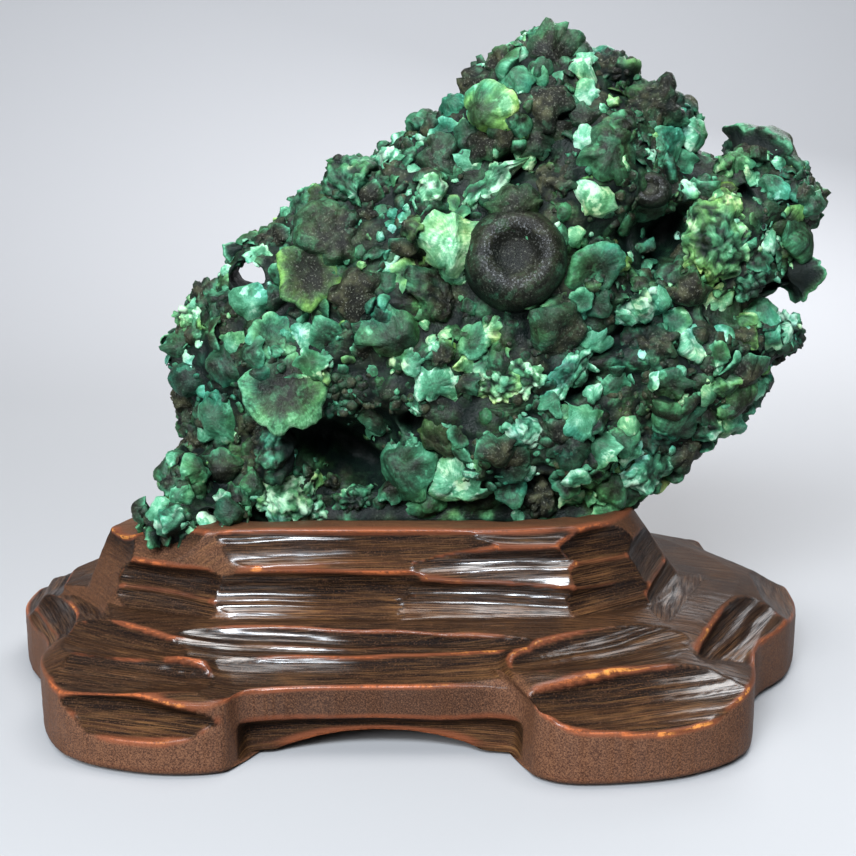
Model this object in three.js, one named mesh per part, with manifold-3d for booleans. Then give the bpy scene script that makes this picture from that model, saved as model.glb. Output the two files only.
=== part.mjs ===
// A malachite specimen standing in the seat of a carved hardwood display stand.
// Millimetres. +Z is up, -Y is the front, and the origin is the middle of the stand's underside.
import * as THREE from "three";
import { LoftGeometry } from "three/addons/geometries/LoftGeometry.js";
import { ImprovedNoise } from "three/addons/math/ImprovedNoise.js";
import { mergeVertices } from "three/addons/utils/BufferGeometryUtils.js";
import Module from "manifold-3d";

const wasm = await Module();
wasm.setup();

// ---- Driving dimensions -------------------------------------------------------------------

const wallTop = 13.5; // height of the stand's upright edge band, before the gouge cuts
const ledgeEdge = 18.5; // where the slope above the band turns into the ledge
const tierFoot = 20.5; // where the upper tier rises from the ledge
const tierTop = 36.5; // top of the upper tier
const ledgeShare = 0.5; // the ledge's edge, as a share of the way from the band to the tier
const sectionPoints = 72; // points round each section of the stand

const seatFloor = 32.5; // floor of the hollow that holds the stone
const seatGap = 0.3; // clearance between the stone and its hollow
const archRise = 3.6; // the arch under the stand, from front to back
const archHalfSpan = 19;
const archMiddle = -5.5; // X of the arch's crown

const stoneMiddle = new THREE.Vector3(12, -2, 76); // point that the stone swells out from
const stoneHalfDepth = 17; // half its thickness there, before the swellings
const stonePoints = 76; // points round the stone's outline
const sliceShares = [1, 0.97, 0.9, 0.8, 0.68, 0.54, 0.34, 0.1]; // slice sizes, from rim to face
const squareness = 2.6; // 2 rounds the stone like a lens, more makes it boxier
const faceCrown = 0.1; // share of its height that a slice loses towards the rim
const knobHeight = 4; // height of the knobbly waver over the faces
const knobPitch = 0.09; // waves of it per millimetre
const knobWaver = 0.16; // how far a foot knob's radius wavers, as a share
const knobLumps = 1.6; // how closely those wavers follow each other

const gougeReach = 3; // an ellipsoid's half height, over the depth of its cut
const gougeSides = [14, 10]; // steps round an ellipsoid and from pole to pole
const knobSides = [12, 8]; // the same for a knob
const archSides = 96;
const mergeWithin = 1e-4; // corners closer than this are one
const beyond = 300; // longer than anything here, for cutting tools

// Plan of the stand's lobed edge, anticlockwise from the right-hand lobe.
const edgePlan = [
  [82.5, 5], [80.5, 18], [74, 28], [69.5, 41], [57, 51.5], [40, 57.4], [24, 55], [17.5, 47],
  [-4, 45.5], [-26.5, 46.5], [-33, 53.5], [-48, 54.5], [-64, 47], [-71, 35], [-73, 26],
  [-80.5, 15], [-82.5, 3], [-79, -8], [-71, -22], [-68, -36], [-60, -48], [-46, -53.5],
  [-33, -53], [-27, -46.8], [-5, -45.6], [17, -46.8], [22.5, -55], [31, -57.5], [48, -54.5],
  [60, -46], [64.5, -32], [68, -22], [77, -11],
];

// Plans of the upper tier, where it meets the ledge and round its top.
const tierFootPlan = [
  [55, -4], [50, 11], [36, 22], [11, 26], [-17, 25.5], [-40, 22], [-55, 13], [-64, -1],
  [-64, -15], [-52, -26], [-30, -31.5], [0, -31.5], [28, -30.5], [47, -22],
];
const tierTopPlan = [
  [44, -7], [40, 5], [29, 14], [8, 18], [-16, 17.5], [-33, 14], [-45, 6], [-54, -5],
  [-56, -14], [-47, -23], [-28, -27.5], [0, -28], [25, -27], [39, -18],
];

// Gouge cuts: a point on the surface, the way the gouge faces, how far the cut is turned in its
// own plane, its half length, half width and depth.
const gougeCuts = [
  { at: [-24, -30.5, 27], facing: [0.05, -1, 0.3], roll: 0, half: [27, 8.5], depth: 3.2 },
  { at: [8, -30.8, 23.5], facing: [0, -1, 0.25], roll: -3, half: [19, 5], depth: 2.4 },
  { at: [13, -29.3, 30.5], facing: [0, -1, 0.45], roll: 3, half: [22, 5.2], depth: 2.4 },
  { at: [40, -23, 27.5], facing: [0.6, -1, 0.35], roll: 8, half: [12, 7.5], depth: 2.6 },
  { at: [51, -11, 25], facing: [1, -0.5, 0.4], roll: 10, half: [13, 7], depth: 2.6 },
  { at: [-55, -22, 25.5], facing: [-0.5, -1, 0.35], roll: -6, half: [14, 7], depth: 2.8 },
  { at: [-62, -4, 28], facing: [-1, -0.35, 0.5], roll: 0, half: [16, 8], depth: 2.6 },
  { at: [-20, -27.5, 35.5], facing: [0, -0.8, 1], roll: 0, half: [29, 5], depth: 2.2 },
  { at: [21, -27, 36], facing: [0.1, -0.8, 1], roll: 2, half: [20, 3.6], depth: 1.6 },
  { at: [-50, -20, 34.5], facing: [-0.5, -0.7, 1], roll: 0, half: [15, 10], depth: 3.6 },
  { at: [43, -8, 33], facing: [1, -0.4, 0.8], roll: 0, half: [14, 6], depth: 2.2 },
  { at: [-7, -42, 16.5], facing: [0, -0.8, 1], roll: 0, half: [37, 5.4], depth: 2.2 },
  { at: [-61, -30, 17.5], facing: [-0.45, -0.8, 1], roll: -6, half: [17, 6], depth: 2.6 },
  { at: [-52, -47, 15.5], facing: [-0.15, -1, 1], roll: 0, half: [19, 4.6], depth: 2.4 },
  { at: [-49, -51.5, 11.5], facing: [-0.2, -1, 0.75], roll: 0, half: [21, 5.2], depth: 4.2 },
  { at: [42, -39, 17.5], facing: [0.15, -0.9, 1], roll: 5, half: [23, 5.6], depth: 2.6 },
  { at: [46, -49, 14], facing: [0.25, -1, 0.85], roll: 6, half: [25, 7.5], depth: 5 },
  { at: [70, -17, 15.5], facing: [0.8, -0.7, 1], roll: 12, half: [15, 6.5], depth: 4 },
  { at: [79, 4, 13.5], facing: [1, -0.1, 1], roll: 0, half: [15, 6], depth: 3.6 },
  { at: [74, 27, 14.5], facing: [1, 0.5, 1], roll: 0, half: [13, 5.5], depth: 2.8 },
  { at: [-79, 3, 14], facing: [-1, -0.1, 0.9], roll: 0, half: [15, 6.5], depth: 4.2 },
  { at: [-74, -17, 14], facing: [-1, -0.5, 1], roll: 0, half: [10, 6], depth: 2.8 },
  { at: [-75, 25, 14.5], facing: [-1, 0.45, 1], roll: 0, half: [13, 6], depth: 3.2 },
  { at: [-54, 47, 14.5], facing: [-0.3, 1, 0.9], roll: 0, half: [20, 6.5], depth: 4.4 },
  { at: [-6, 42, 16.5], facing: [0, 0.8, 1], roll: 0, half: [36, 5.4], depth: 2.4 },
  { at: [46, 48, 14.5], facing: [0.3, 1, 0.9], roll: 0, half: [22, 6.5], depth: 4.4 },
  { at: [-38, 21, 27], facing: [-0.25, 1, 0.35], roll: 0, half: [22, 8], depth: 2.6 },
  { at: [6, 24.5, 27], facing: [0, 1, 0.35], roll: 3, half: [24, 8], depth: 2.6 },
  { at: [42, 14, 27], facing: [0.7, 1, 0.35], roll: 0, half: [16, 8], depth: 2.6 },
];

// The long hollow low in the front band and its twin at the back.
const underCuts = [
  { at: [-6, -46.4, 3.2], facing: [0, -1, 0], roll: 0, half: [27, 3.6], depth: 2.4 },
  { at: [-5, 46, 3.2], facing: [0, 1, 0], roll: 0, half: [26, 3.6], depth: 2.4 },
];

// Outline of the stone seen from the front, [X, Z], anticlockwise from the lower left.
const stonePlan = [
  [-49, 33], [-40, 30], [-20, 29], [0, 28.5], [20, 28.5], [39, 29], [44, 30], [47, 35],
  [53.5, 41], [58, 46], [63.5, 49], [69, 53], [73, 60], [75, 65], [79, 68], [79, 72.5],
  [77, 75], [68, 76.2], [76, 78], [79.5, 81], [78.5, 89], [81, 94.5], [82, 99.5], [80, 102.5],
  [72.5, 107], [67.5, 109], [63.5, 108], [58.5, 105], [56.5, 110], [57, 114.5], [49, 118],
  [43.5, 121.5], [38, 125.5], [31, 128], [27, 130.4], [21.5, 129.6], [17, 127.8], [14, 123.5],
  [10, 120.5], [9, 116.5], [3, 114], [-2, 110.5], [-8, 107], [-16.5, 102], [-25, 96],
  [-29, 93], [-35.5, 88.5], [-38, 84.5], [-42.5, 80.5], [-46, 79], [-47, 74], [-50.5, 69],
  [-52, 64.5], [-50, 62], [-47.5, 57], [-47.5, 47], [-50, 41],
];

// Swellings of the front and back faces, [X, Z, radius, height]. A negative height is a hollow.
const frontSwellings = [
  [18.5, 87, 15, 6], [-20, 84, 12, 5], [-30, 64, 14, 8], [0, 96, 14, 5], [17, 111, 12, 6],
  [38, 104, 14, 6], [-7, 78, 12, 5], [37, 80, 11, 5], [3, 66, 14, 6], [24, 66, 14, 6],
  [14, 49, 13, 9], [35, 51, 14, 8], [52, 63, 13, 6], [66, 94, 12, 7], [66, 70, 9, 5],
  [-10, 49, 11, -9], [48, 89, 9, -8], [-31, 44, 11, 5],
];
const backSwellings = [
  [-18, 82, 16, 7], [4, 98, 14, 6], [26, 108, 14, 7], [22, 82, 17, 9], [-10, 60, 17, 8],
  [16, 54, 15, 8], [48, 84, 16, 8], [44, 58, 15, 7], [-34, 66, 13, 7], [64, 98, 12, 6],
];

// Knobs of the foot at the left, which reaches forward over the seat's rim:
// [X, Y, Z, radius along X, along Y, along Z].
const footKnobs = [
  [-45.5, -20, 37, 8, 7, 5.6], [-44, -15, 44, 5.5, 9, 6], [-36, -16, 37.5, 6, 8, 6],
];

// Two small holes that go right through beside the left edge, in the same form.
const throughHoles = [
  [-31.4, -3, 82.4, 3.4, 50, 2.1], [-38.4, -8, 37.6, 1.8, 40, 1.5],
];

// ---- Solids and meshes --------------------------------------------------------------------

function solidOf(geometry) {
  const bare = new THREE.BufferGeometry();
  bare.setAttribute("position", geometry.getAttribute("position"));
  bare.setIndex(geometry.index);
  const merged = mergeVertices(bare, mergeWithin);
  return new wasm.Manifold(new wasm.Mesh({
    numProp: 3,
    vertProperties: merged.attributes.position.array,
    triVerts: new Uint32Array(merged.index.array),
  }));
}

function geometryOf(solid) {
  const { numProp, numVert, vertProperties, triVerts } = solid.getMesh();
  const positions = new Float32Array(numVert * 3);
  for (let i = 0; i < numVert; i++) {
    positions.set(vertProperties.subarray(i * numProp, i * numProp + 3), i * 3);
  }
  const geometry = new THREE.BufferGeometry();
  geometry.setAttribute("position", new THREE.BufferAttribute(positions, 3));
  geometry.setIndex(new THREE.BufferAttribute(triVerts, 1));
  geometry.computeVertexNormals();
  return geometry;
}

const joined = (solids) => solids.reduce((whole, next) => whole.add(next));
const cutBy = (body, solids) => solids.reduce((left, next) => left.subtract(next), body);

// Everything lower than a level.
function below(level) {
  const block = new THREE.BoxGeometry(beyond, beyond, beyond);
  return solidOf(block.translate(0, 0, level - beyond / 2));
}

// ---- The stand ----------------------------------------------------------------------------

// A closed plan as evenly spaced points.
function spacedPlan(plan) {
  const corners = plan.map(([x, y]) => new THREE.Vector3(x, y, 0));
  const curve = new THREE.CatmullRomCurve3(corners, true, "centripetal");
  return curve.getSpacedPoints(sectionPoints).slice(0, -1);
}

// The block before carving: an upright band, a slope up to the ledge, and the upper tier.
function standBlock() {
  const edge = spacedPlan(edgePlan);
  const foot = spacedPlan(tierFootPlan);
  const top = spacedPlan(tierTopPlan);
  const ledge = edge.map((point, i) => point.clone().lerp(foot[i], ledgeShare));
  const atHeight = (plan, z) => plan.map((point) => new THREE.Vector3(point.x, point.y, z));
  const sections = [
    atHeight(edge, 0), atHeight(edge, wallTop), atHeight(ledge, ledgeEdge),
    atHeight(foot, tierFoot), atHeight(top, tierTop),
  ];
  return solidOf(new LoftGeometry(sections, { capStart: true, capEnd: true }));
}

// One pass of the gouge: an ellipsoid sunk into the surface by the cut's depth.
function gougeSolid({ at, facing, roll, half, depth }) {
  const reach = depth * gougeReach;
  const spread = Math.sqrt(1 - ((reach - depth) / reach) ** 2);
  const outward = new THREE.Vector3(...facing).normalize();
  const along = new THREE.Vector3(0, 0, 1).cross(outward).normalize();
  const across = outward.clone().cross(along);
  const ball = new THREE.SphereGeometry(1, ...gougeSides).rotateX(Math.PI / 2);
  ball.scale(half[0] / spread, half[1] / spread, reach);
  ball.rotateZ(THREE.MathUtils.degToRad(roll));
  const centre = new THREE.Vector3(...at).addScaledVector(outward, reach - depth);
  const place = new THREE.Matrix4().makeBasis(along, across, outward).setPosition(centre);
  return solidOf(ball.applyMatrix4(place));
}

// The arch is a wide cylinder lying front to back under the stand.
function archSolid() {
  const radius = (archHalfSpan ** 2 + archRise ** 2) / (2 * archRise);
  const barrel = new THREE.CylinderGeometry(radius, radius, beyond, archSides);
  return solidOf(barrel.translate(archMiddle, 0, archRise - radius));
}

// The stand, with a hollow in its top that follows the stone's own foot.
function carvedStand() {
  const cuts = [...gougeCuts, ...underCuts].map(gougeSolid);
  return cutBy(standBlock(), [...cuts, archSolid(), stoneSolid(seatFloor, 2 * seatGap)]);
}

// ---- The stone ----------------------------------------------------------------------------

const noise = new ImprovedNoise();

// A knob is a ball whose radius wavers with smooth noise.
function knobSolid([x, y, z, rx, ry, rz]) {
  const ball = new THREE.SphereGeometry(1, ...knobSides);
  const position = ball.getAttribute("position");
  const point = new THREE.Vector3();
  for (let i = 0; i < position.count; i++) {
    point.fromBufferAttribute(position, i);
    const lump = point.clone().multiplyScalar(knobLumps).add(new THREE.Vector3(x, y, z));
    point.multiplyScalar(1 + knobWaver * noise.noise(lump.x, lump.y, lump.z));
    position.setXYZ(i, point.x * rx, point.y * ry, point.z * rz);
  }
  return solidOf(ball.translate(x, y, z));
}

// How far the swellings push a face out at one place.
function swelling(list, x, z) {
  let height = 0;
  for (const [atX, atZ, radius, rise] of list) {
    const away = Math.min(1, Math.hypot(x - atX, z - atZ) / radius);
    height += rise * (1 - away ** 2) ** 2;
  }
  return height;
}

// The stone, slice by slice from its back to its front: each slice is the outline drawn in
// towards the middle, and its points stand out by the swellings and by a knobbly waver.
// grow makes it larger on every side.
function stoneSolid(floor, grow = 0) {
  const outline = stonePlan.map(([x, z]) => new THREE.Vector3(x, 0, z));
  const rim = new THREE.CatmullRomCurve3(outline, true, "centripetal").getSpacedPoints(stonePoints);
  const sections = [];
  for (let i = sliceShares.length - 1; i > -sliceShares.length; i--) {
    const share = sliceShares[Math.abs(i)];
    const bulge = (1 - share ** squareness) ** (1 / squareness) * (1 - faceCrown * share);
    const lean = Math.sign(i) * bulge;
    sections.push(rim.slice(0, -1).map((point) => {
      const away = point.clone().sub(stoneMiddle).setY(0);
      const x = stoneMiddle.x + away.x * share + grow * Math.sign(away.x);
      const z = stoneMiddle.z + away.z * share + grow * Math.sign(away.z);
      const knobs = knobHeight * noise.noise(x * knobPitch, lean * 2, z * knobPitch);
      const face = swelling(lean > 0 ? backSwellings : frontSwellings, x, z);
      const reach = stoneHalfDepth + face + knobs + grow;
      return new THREE.Vector3(x, stoneMiddle.y + lean * reach, z);
    }));
  }
  const body = solidOf(new LoftGeometry(sections, { capStart: true, capEnd: true }));
  const whole = joined([body, ...footKnobs.map((knob) => knobSolid(knob))]);
  const pierced = cutBy(whole, throughHoles.map((hole) => knobSolid(hole)));
  return pierced.subtract(below(floor));
}

// ---- Assembly -----------------------------------------------------------------------------

function part(name, solid, color, roughness) {
  const material = new THREE.MeshStandardMaterial({ color, roughness, metalness: 0 });
  const mesh = new THREE.Mesh(geometryOf(solid), material);
  mesh.name = name;
  return mesh;
}

const specimen = new THREE.Group();
specimen.add(
  part("carved_stand", carvedStand(), 0x3a2418, 0.42),
  part("malachite", stoneSolid(seatFloor + seatGap), 0x1f6b4a, 0.7),
);

export default specimen;
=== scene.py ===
# A malachite specimen on its carved stand. Lengths are in millimetres until a mesh is made.
import bpy
import bmesh
import math
import numpy as np
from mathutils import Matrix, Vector
from mathutils.bvhtree import BVHTree


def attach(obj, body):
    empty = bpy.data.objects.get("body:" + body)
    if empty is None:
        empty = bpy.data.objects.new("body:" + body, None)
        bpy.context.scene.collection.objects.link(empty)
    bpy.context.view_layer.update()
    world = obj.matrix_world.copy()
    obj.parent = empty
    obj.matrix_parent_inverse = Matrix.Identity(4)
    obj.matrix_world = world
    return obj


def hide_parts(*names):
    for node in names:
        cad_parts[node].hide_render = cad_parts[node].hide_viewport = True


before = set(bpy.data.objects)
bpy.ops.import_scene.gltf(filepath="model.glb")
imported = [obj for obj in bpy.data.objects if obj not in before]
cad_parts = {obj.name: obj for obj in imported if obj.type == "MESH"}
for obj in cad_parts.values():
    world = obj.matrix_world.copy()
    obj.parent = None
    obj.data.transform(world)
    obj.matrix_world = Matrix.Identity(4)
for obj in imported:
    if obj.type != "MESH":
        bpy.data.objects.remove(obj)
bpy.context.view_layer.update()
mm = 0.001
print("frame loaded")

# where the viewer stands, in millimetres, and how far down they look
view = {"eye": (3.3, -251.8, 103.9), "lookDown": 12.0, "lens": 52.6, "sensor": 36.0}


# Random value in 0..1 for each lattice corner, by mixing the bits of its three whole numbers.
def cornerValue(corner, seed):
    mixed = corner[..., 0] * 73856093 ^ corner[..., 1] * 19349663 ^ corner[..., 2] * 83492791
    mixed = (mixed ^ seed * 40503) & 0xFFFFFFFF
    mixed = (mixed ^ mixed >> 15) * 2246822519 & 0xFFFFFFFF
    mixed = (mixed ^ mixed >> 13) * 3266489917 & 0xFFFFFFFF
    return (mixed ^ mixed >> 16) / 4294967295.0


# Smooth noise in -1..1: the eight corner values round a point, blended with a quintic ease.
def smoothNoise(points, size, seed):
    place = points / size
    corner = np.floor(place).astype(np.int64)
    ease = place - corner
    ease = ease * ease * ease * (ease * (ease * 6 - 15) + 10)
    total = np.zeros(points.shape[:-1])
    for number in range(8):
        step = np.array([number & 1, number >> 1 & 1, number >> 2 & 1])
        weight = np.where(step == 1, ease, 1 - ease).prod(axis=-1)
        total += weight * cornerValue(corner + step, seed)
    return total * 2 - 1


# Three layers of smooth noise as a direction.
def smoothNoise3(points, size, seed):
    return np.stack([smoothNoise(points, size, seed + 100 * axis) for axis in range(3)], -1)


# Layers of smooth noise, each half the size and half the strength of the one before.
def layeredNoise(points, size, seed, layers=3):
    total = np.zeros(points.shape[:-1])
    for layer in range(layers):
        total += smoothNoise(points, size / 2 ** layer, seed + layer) / 2 ** layer
    return total / (2 - 2.0 ** (1 - layers))


# One random spot in each lattice cell: how far the nearest is, over the size, and its own value.
def cellNoise(points, size, seed):
    place = points / size
    cell = np.floor(place).astype(np.int64)
    near = np.full(points.shape[:-1], 9.0)
    owner = near.copy()
    for number in range(27):
        step = np.array([number % 3 - 1, number // 3 % 3 - 1, number // 9 - 1])
        other = cell + step
        spot = np.stack([cornerValue(other, seed + axis) for axis in range(3)], -1)
        gap = np.linalg.norm(other + spot - place, axis=-1)
        owner = np.where(gap < near, cornerValue(other, seed + 3), owner)
        near = np.minimum(near, gap)
    return near, owner


# Directions of length 1.
def unit(vectors):
    return vectors / np.maximum(np.linalg.norm(vectors, axis=-1, keepdims=True), 1e-9)


# 0 up to low, 1 from high, and eased between them as 3 t squared less 2 t cubed.
def smoothStep(value, low, high):
    share = np.clip((value - low) / (high - low), 0, 1)
    return share * share * (3 - 2 * share)


# Mesh from arrays: points in millimetres, quads and triangles as rows of point numbers.
def meshPiece(name, points, quads, triangles=None):
    triangles = np.zeros((0, 3), int) if triangles is None else triangles
    mesh = bpy.data.meshes.new(name)
    corners = np.concatenate([quads.ravel(), triangles.ravel()]).astype(np.int32)
    quadStarts = np.arange(len(quads)) * 4
    starts = np.concatenate([quadStarts, 4 * len(quads) + np.arange(len(triangles)) * 3])
    mesh.vertices.add(len(points))
    mesh.vertices.foreach_set("co", (points * mm).astype(np.float32).ravel())
    mesh.loops.add(len(corners))
    mesh.loops.foreach_set("vertex_index", corners)
    mesh.polygons.add(len(starts))
    mesh.polygons.foreach_set("loop_start", starts.astype(np.int32))
    mesh.polygons.foreach_set("use_smooth", np.ones(len(starts), bool))
    mesh.update(calc_edges=True)
    mesh.validate()
    piece = bpy.data.objects.new(name, mesh)
    bpy.context.scene.collection.objects.link(piece)
    return piece


# A value or a vector kept at each point, for a material to read.
def setAttribute(piece, name, values):
    kind = "FLOAT" if values.ndim == 1 else "FLOAT_VECTOR"
    field = "value" if values.ndim == 1 else "vector"
    layer = piece.data.attributes.new(name, kind, "POINT")
    layer.data.foreach_set(field, values.astype(np.float32).ravel())


# Catmull-Rom curve through rows of points, read at places that count along the rows.
def throughPoints(rows, places, closed=False):
    rows = np.asarray(rows, float)
    count = len(rows)
    first = np.clip(np.floor(places).astype(int), 0, count - (1 if closed else 2))
    t = (places - first).reshape((-1,) + (1,) * (rows.ndim - 1))
    pick = (lambda i: rows[i % count]) if closed else (lambda i: rows[np.clip(i, 0, count - 1)])
    a, b, c, d = pick(first - 1), pick(first), pick(first + 1), pick(first + 2)
    square, cube = 2 * a - 5 * b + 4 * c - d, 3 * b - a - 3 * c + d
    return 0.5 * (2 * b + (c - a) * t + square * t ** 2 + cube * t ** 3)


# Closed plan read at even shares of its length, or at the shares given.
def closedPlan(plan, shares):
    dense = throughPoints(plan, np.linspace(0, len(plan), 2001)[:-1], closed=True)
    looped = np.vstack([dense, dense[:1]])
    run = np.concatenate([[0], np.cumsum(np.linalg.norm(np.diff(looped, axis=0), axis=1))])
    run /= run[-1]
    return np.stack([np.interp(shares, run, looped[:, axis]) for axis in (0, 1)], -1)


# The stand: heights of its steps, how finely it is divided, its arch, the seat cut for the stone,
# how its ledge's corners are eased, how far the left end of its top drops and between which places,
# and how deep and how big its open grain and its tool marks are.
standShape = {
    "wallTop": 13.5, "ledgeEdge": 18.5, "tierFoot": 20.5, "tierTop": 36.5, "ledgeShare": 0.5,
    "around": 720, "wallRows": 22, "slopeRows": 25, "ledgeRows": 29, "riserRows": 38,
    "topRows": 12, "baseRows": 4,
    "archMiddle": -5.5, "archHalfSpan": 19.0, "archRise": 3.6,
    "seatMiddle": (-4.0, -2.0), "seatHalf": (47.0, 15.5), "seatFloor": 32.5,
    "cornerReach": 7.0, "crestDrop": 4.0, "crestEnd": (46, 60), "wearPasses": 4,
    "grainDepth": 0.07, "grainSize": 1.3, "toolDepth": 0.13, "toolSize": 0.9,
}
edgePlan = [
    (82.5, 5), (80.5, 18), (74, 28), (69.5, 41), (57, 51.5), (40, 57.4), (24, 55), (17.5, 47),
    (-4, 45.5), (-26.5, 46.5), (-33, 53.5), (-48, 54.5), (-64, 47), (-71, 35), (-73, 26),
    (-80.5, 15), (-82.5, 3), (-79, -8), (-71, -22), (-68, -36), (-60, -48), (-46, -53.5),
    (-33, -53), (-27, -46.8), (-5, -45.6), (17, -46.8), (22.5, -55), (31, -57.5), (48, -54.5),
    (60, -46), (64.5, -32), (68, -22), (77, -11),
]
tierFootPlan = [
    (55, -4), (50, 11), (36, 22), (11, 26), (-17, 25.5), (-40, 22), (-55, 13), (-64, -1),
    (-64, -15), (-52, -26), (-30, -31.5), (0, -31.5), (28, -30.5), (47, -22),
]
tierTopPlan = [
    (44, -7), (40, 5), (29, 14), (8, 18), (-16, 17.5), (-33, 14), (-47, 6), (-57, -4),
    (-60, -14), (-50, -23.5), (-28, -27.5), (0, -28), (25, -27), (39, -18),
]
# gouge cuts: place, the way the cut faces, turn in its own plane, half length, half width, depth,
# flutes, the end that narrows to a point (1 or -1 along it, 0 for neither), polish from 0 to 1, and
# the end that the polish gathers at
gougeCuts = [
    ((-48, -27.6, 24.4), (-0.35, -1, 0.25), -2, 16.5, 6.0, 2.8, 2, 0, 0.15, 0),
    ((-18, -30.8, 24.0), (0, -1, 0.22), 0, 25, 5.8, 3.3, 4, 0, 1, -1),
    ((-11, -28.6, 32.6), (0, -1, 0.45), 1, 30, 6.0, 2.7, 3, 0, 0.5, -1),
    ((24, -27.2, 34.4), (0.1, -1, 0.6), -2, 22, 4.6, 2.0, 2, 0, 0.25, 0),
    ((18, -29.6, 28.9), (0.05, -1, 0.3), 2, 21, 5.0, 3.1, 2, 0, 1, 0),
    ((16, -31, 22.7), (0, -1, 0.22), -2, 23, 5.2, 3.2, 3, 0, 0.6, 0),
    ((41, -23.5, 30), (0.55, -1, 0.45), 0, 14, 7.4, 2.4, 2, 0, 0.1, 0),
    ((41, -26.5, 22.6), (0.45, -1, 0.3), 4, 15, 5.4, 2.6, 2, 0, 0.12, 0),
    ((50.5, -12, 26), (1, -0.5, 0.45), 6, 16, 10, 2.2, 2, 0, 0.2, 0),
    ((-48, -23.2, 32.4), (-0.45, -1, 0.5), 0, 17, 7.4, 1.3, 1, 0, 0.05, 0),
    ((-60, -12, 27), (-1, -0.7, 0.45), 0, 16, 10, 1.3, 1, 0, 0.1, 0),
    ((-58, 6, 28), (-1, 0.6, 0.5), 0, 16, 10, 1.8, 2, 0, 0.2, 0),
    ((-12, -38.2, 17.9), (0, -0.45, 1), -1, 33, 5.6, 2.4, 3, 1, 0.95, -1),
    ((-9, -43.4, 15.6), (0, -0.6, 1), 1, 25, 4.0, 1.2, 1, 0, 0.3, -1),
    ((-56, -33, 17.3), (-0.25, -0.6, 1), -5, 20, 5.8, 2.8, 3, 1, 0.15, 0),
    ((-52, -42, 15), (-0.15, -0.8, 1), -4, 23, 6.4, 3.3, 4, 1, 0.15, 0),
    ((-49, -50.2, 9.4), (-0.15, -1, 0.4), -2, 21, 5.4, 4.2, 2, 1, 0, 0),
    ((37, -37.6, 17.8), (0.12, -0.6, 1), 8, 23, 6.4, 3.0, 4, -1, 0.35, 0),
    ((42, -48.6, 12.4), (0.15, -0.95, 1), 4, 29, 9.0, 4.2, 6, -1, 0.8, 1),
    ((66, -23, 16), (0.6, -0.6, 1.1), 10, 20, 8.0, 3.2, 3, -1, 0.3, 0),
    ((77, -2, 15), (1, -0.1, 1.3), 0, 17, 8, 1.8, 1, 0, 0.3, 0),
    ((74, 23, 15), (1, 0.5, 1.2), 0, 16, 7.4, 1.8, 1, 0, 0.3, 0),
    ((-77, 3, 15), (-1, -0.1, 1.2), 0, 20, 8, 2.4, 2, 0, 0.4, 0),
    ((-74, -17, 15), (-1, -0.5, 1.2), 0, 14, 7.2, 2.2, 2, 0, 0.4, 0),
    ((-73, 24, 15), (-1, 0.45, 1.2), 0, 17, 7.4, 2.4, 2, 0, 0.3, 0),
    ((-52, 44, 15), (-0.3, 1, 1), 0, 27, 8.5, 3.2, 3, 0, 0.3, 0),
    ((-6, 38, 17.5), (0, 0.6, 1), 0, 36, 7, 2.2, 2, 0, 0.4, 0),
    ((45, 45, 15), (0.3, 1, 1), 0, 28, 8.5, 3.2, 3, 0, 0.3, 0),
    ((-36, 22, 27), (-0.25, 1, 0.35), 0, 28, 9.5, 2.6, 3, 0, 0.4, 0),
    ((8, 25, 27), (0, 1, 0.35), 3, 28, 9.5, 2.6, 3, 0, 0.4, 0),
    ((44, 15, 27), (0.8, 1, 0.35), 0, 20, 9.5, 2.6, 2, 0, 0.3, 0),
    ((-6, -46.4, 3.6), (0, -1, -0.1), 0, 30, 3.7, 2.6, 1, 0, 0, 0),
    ((-5, 46, 3.6), (0, 1, -0.1), 0, 28, 3.7, 2.4, 1, 0, 0, 0),
]
# every gouge pass: where across its scoop it is deepest, towards the upper edge, how abruptly its
# ends rise and where they fade out, how far it wanders, how deep its flutes are, the line along
# its upper side where shade is painted and how far that reaches, and the polish of wood that no
# gouge has touched
gougeShape = {
    "deepLine": 0.42, "endPower": 3.6, "endFade": (1.0, 1.12), "sway": 0.7, "swaySize": (11, 6),
    "fluteLeast": 0.2, "fluteShare": 0.34, "shadeLine": 0.58, "shadeReach": 0.48,
    "uncutPolish": 0.12,
}


# Height of the arch over the table: a circle's arc across the stand, nothing outside its span.
def archHeight(x):
    s = standShape
    radius = (s["archHalfSpan"] ** 2 + s["archRise"] ** 2) / (2 * s["archRise"])
    away = np.minimum(np.abs(x - s["archMiddle"]), s["archHalfSpan"])
    return np.sqrt(radius ** 2 - away ** 2) - (radius - s["archRise"])


# A closed curve with its corners eased, by fading its quicker waves out with a bell curve.
def rounded(plan, reach):
    waves = np.fft.rfft(plan, axis=0)
    fade = np.exp(-2 * (math.pi * reach * np.arange(len(waves)) / len(plan)) ** 2)
    return np.fft.irfft(waves * fade[:, None], len(plan), axis=0)


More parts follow.
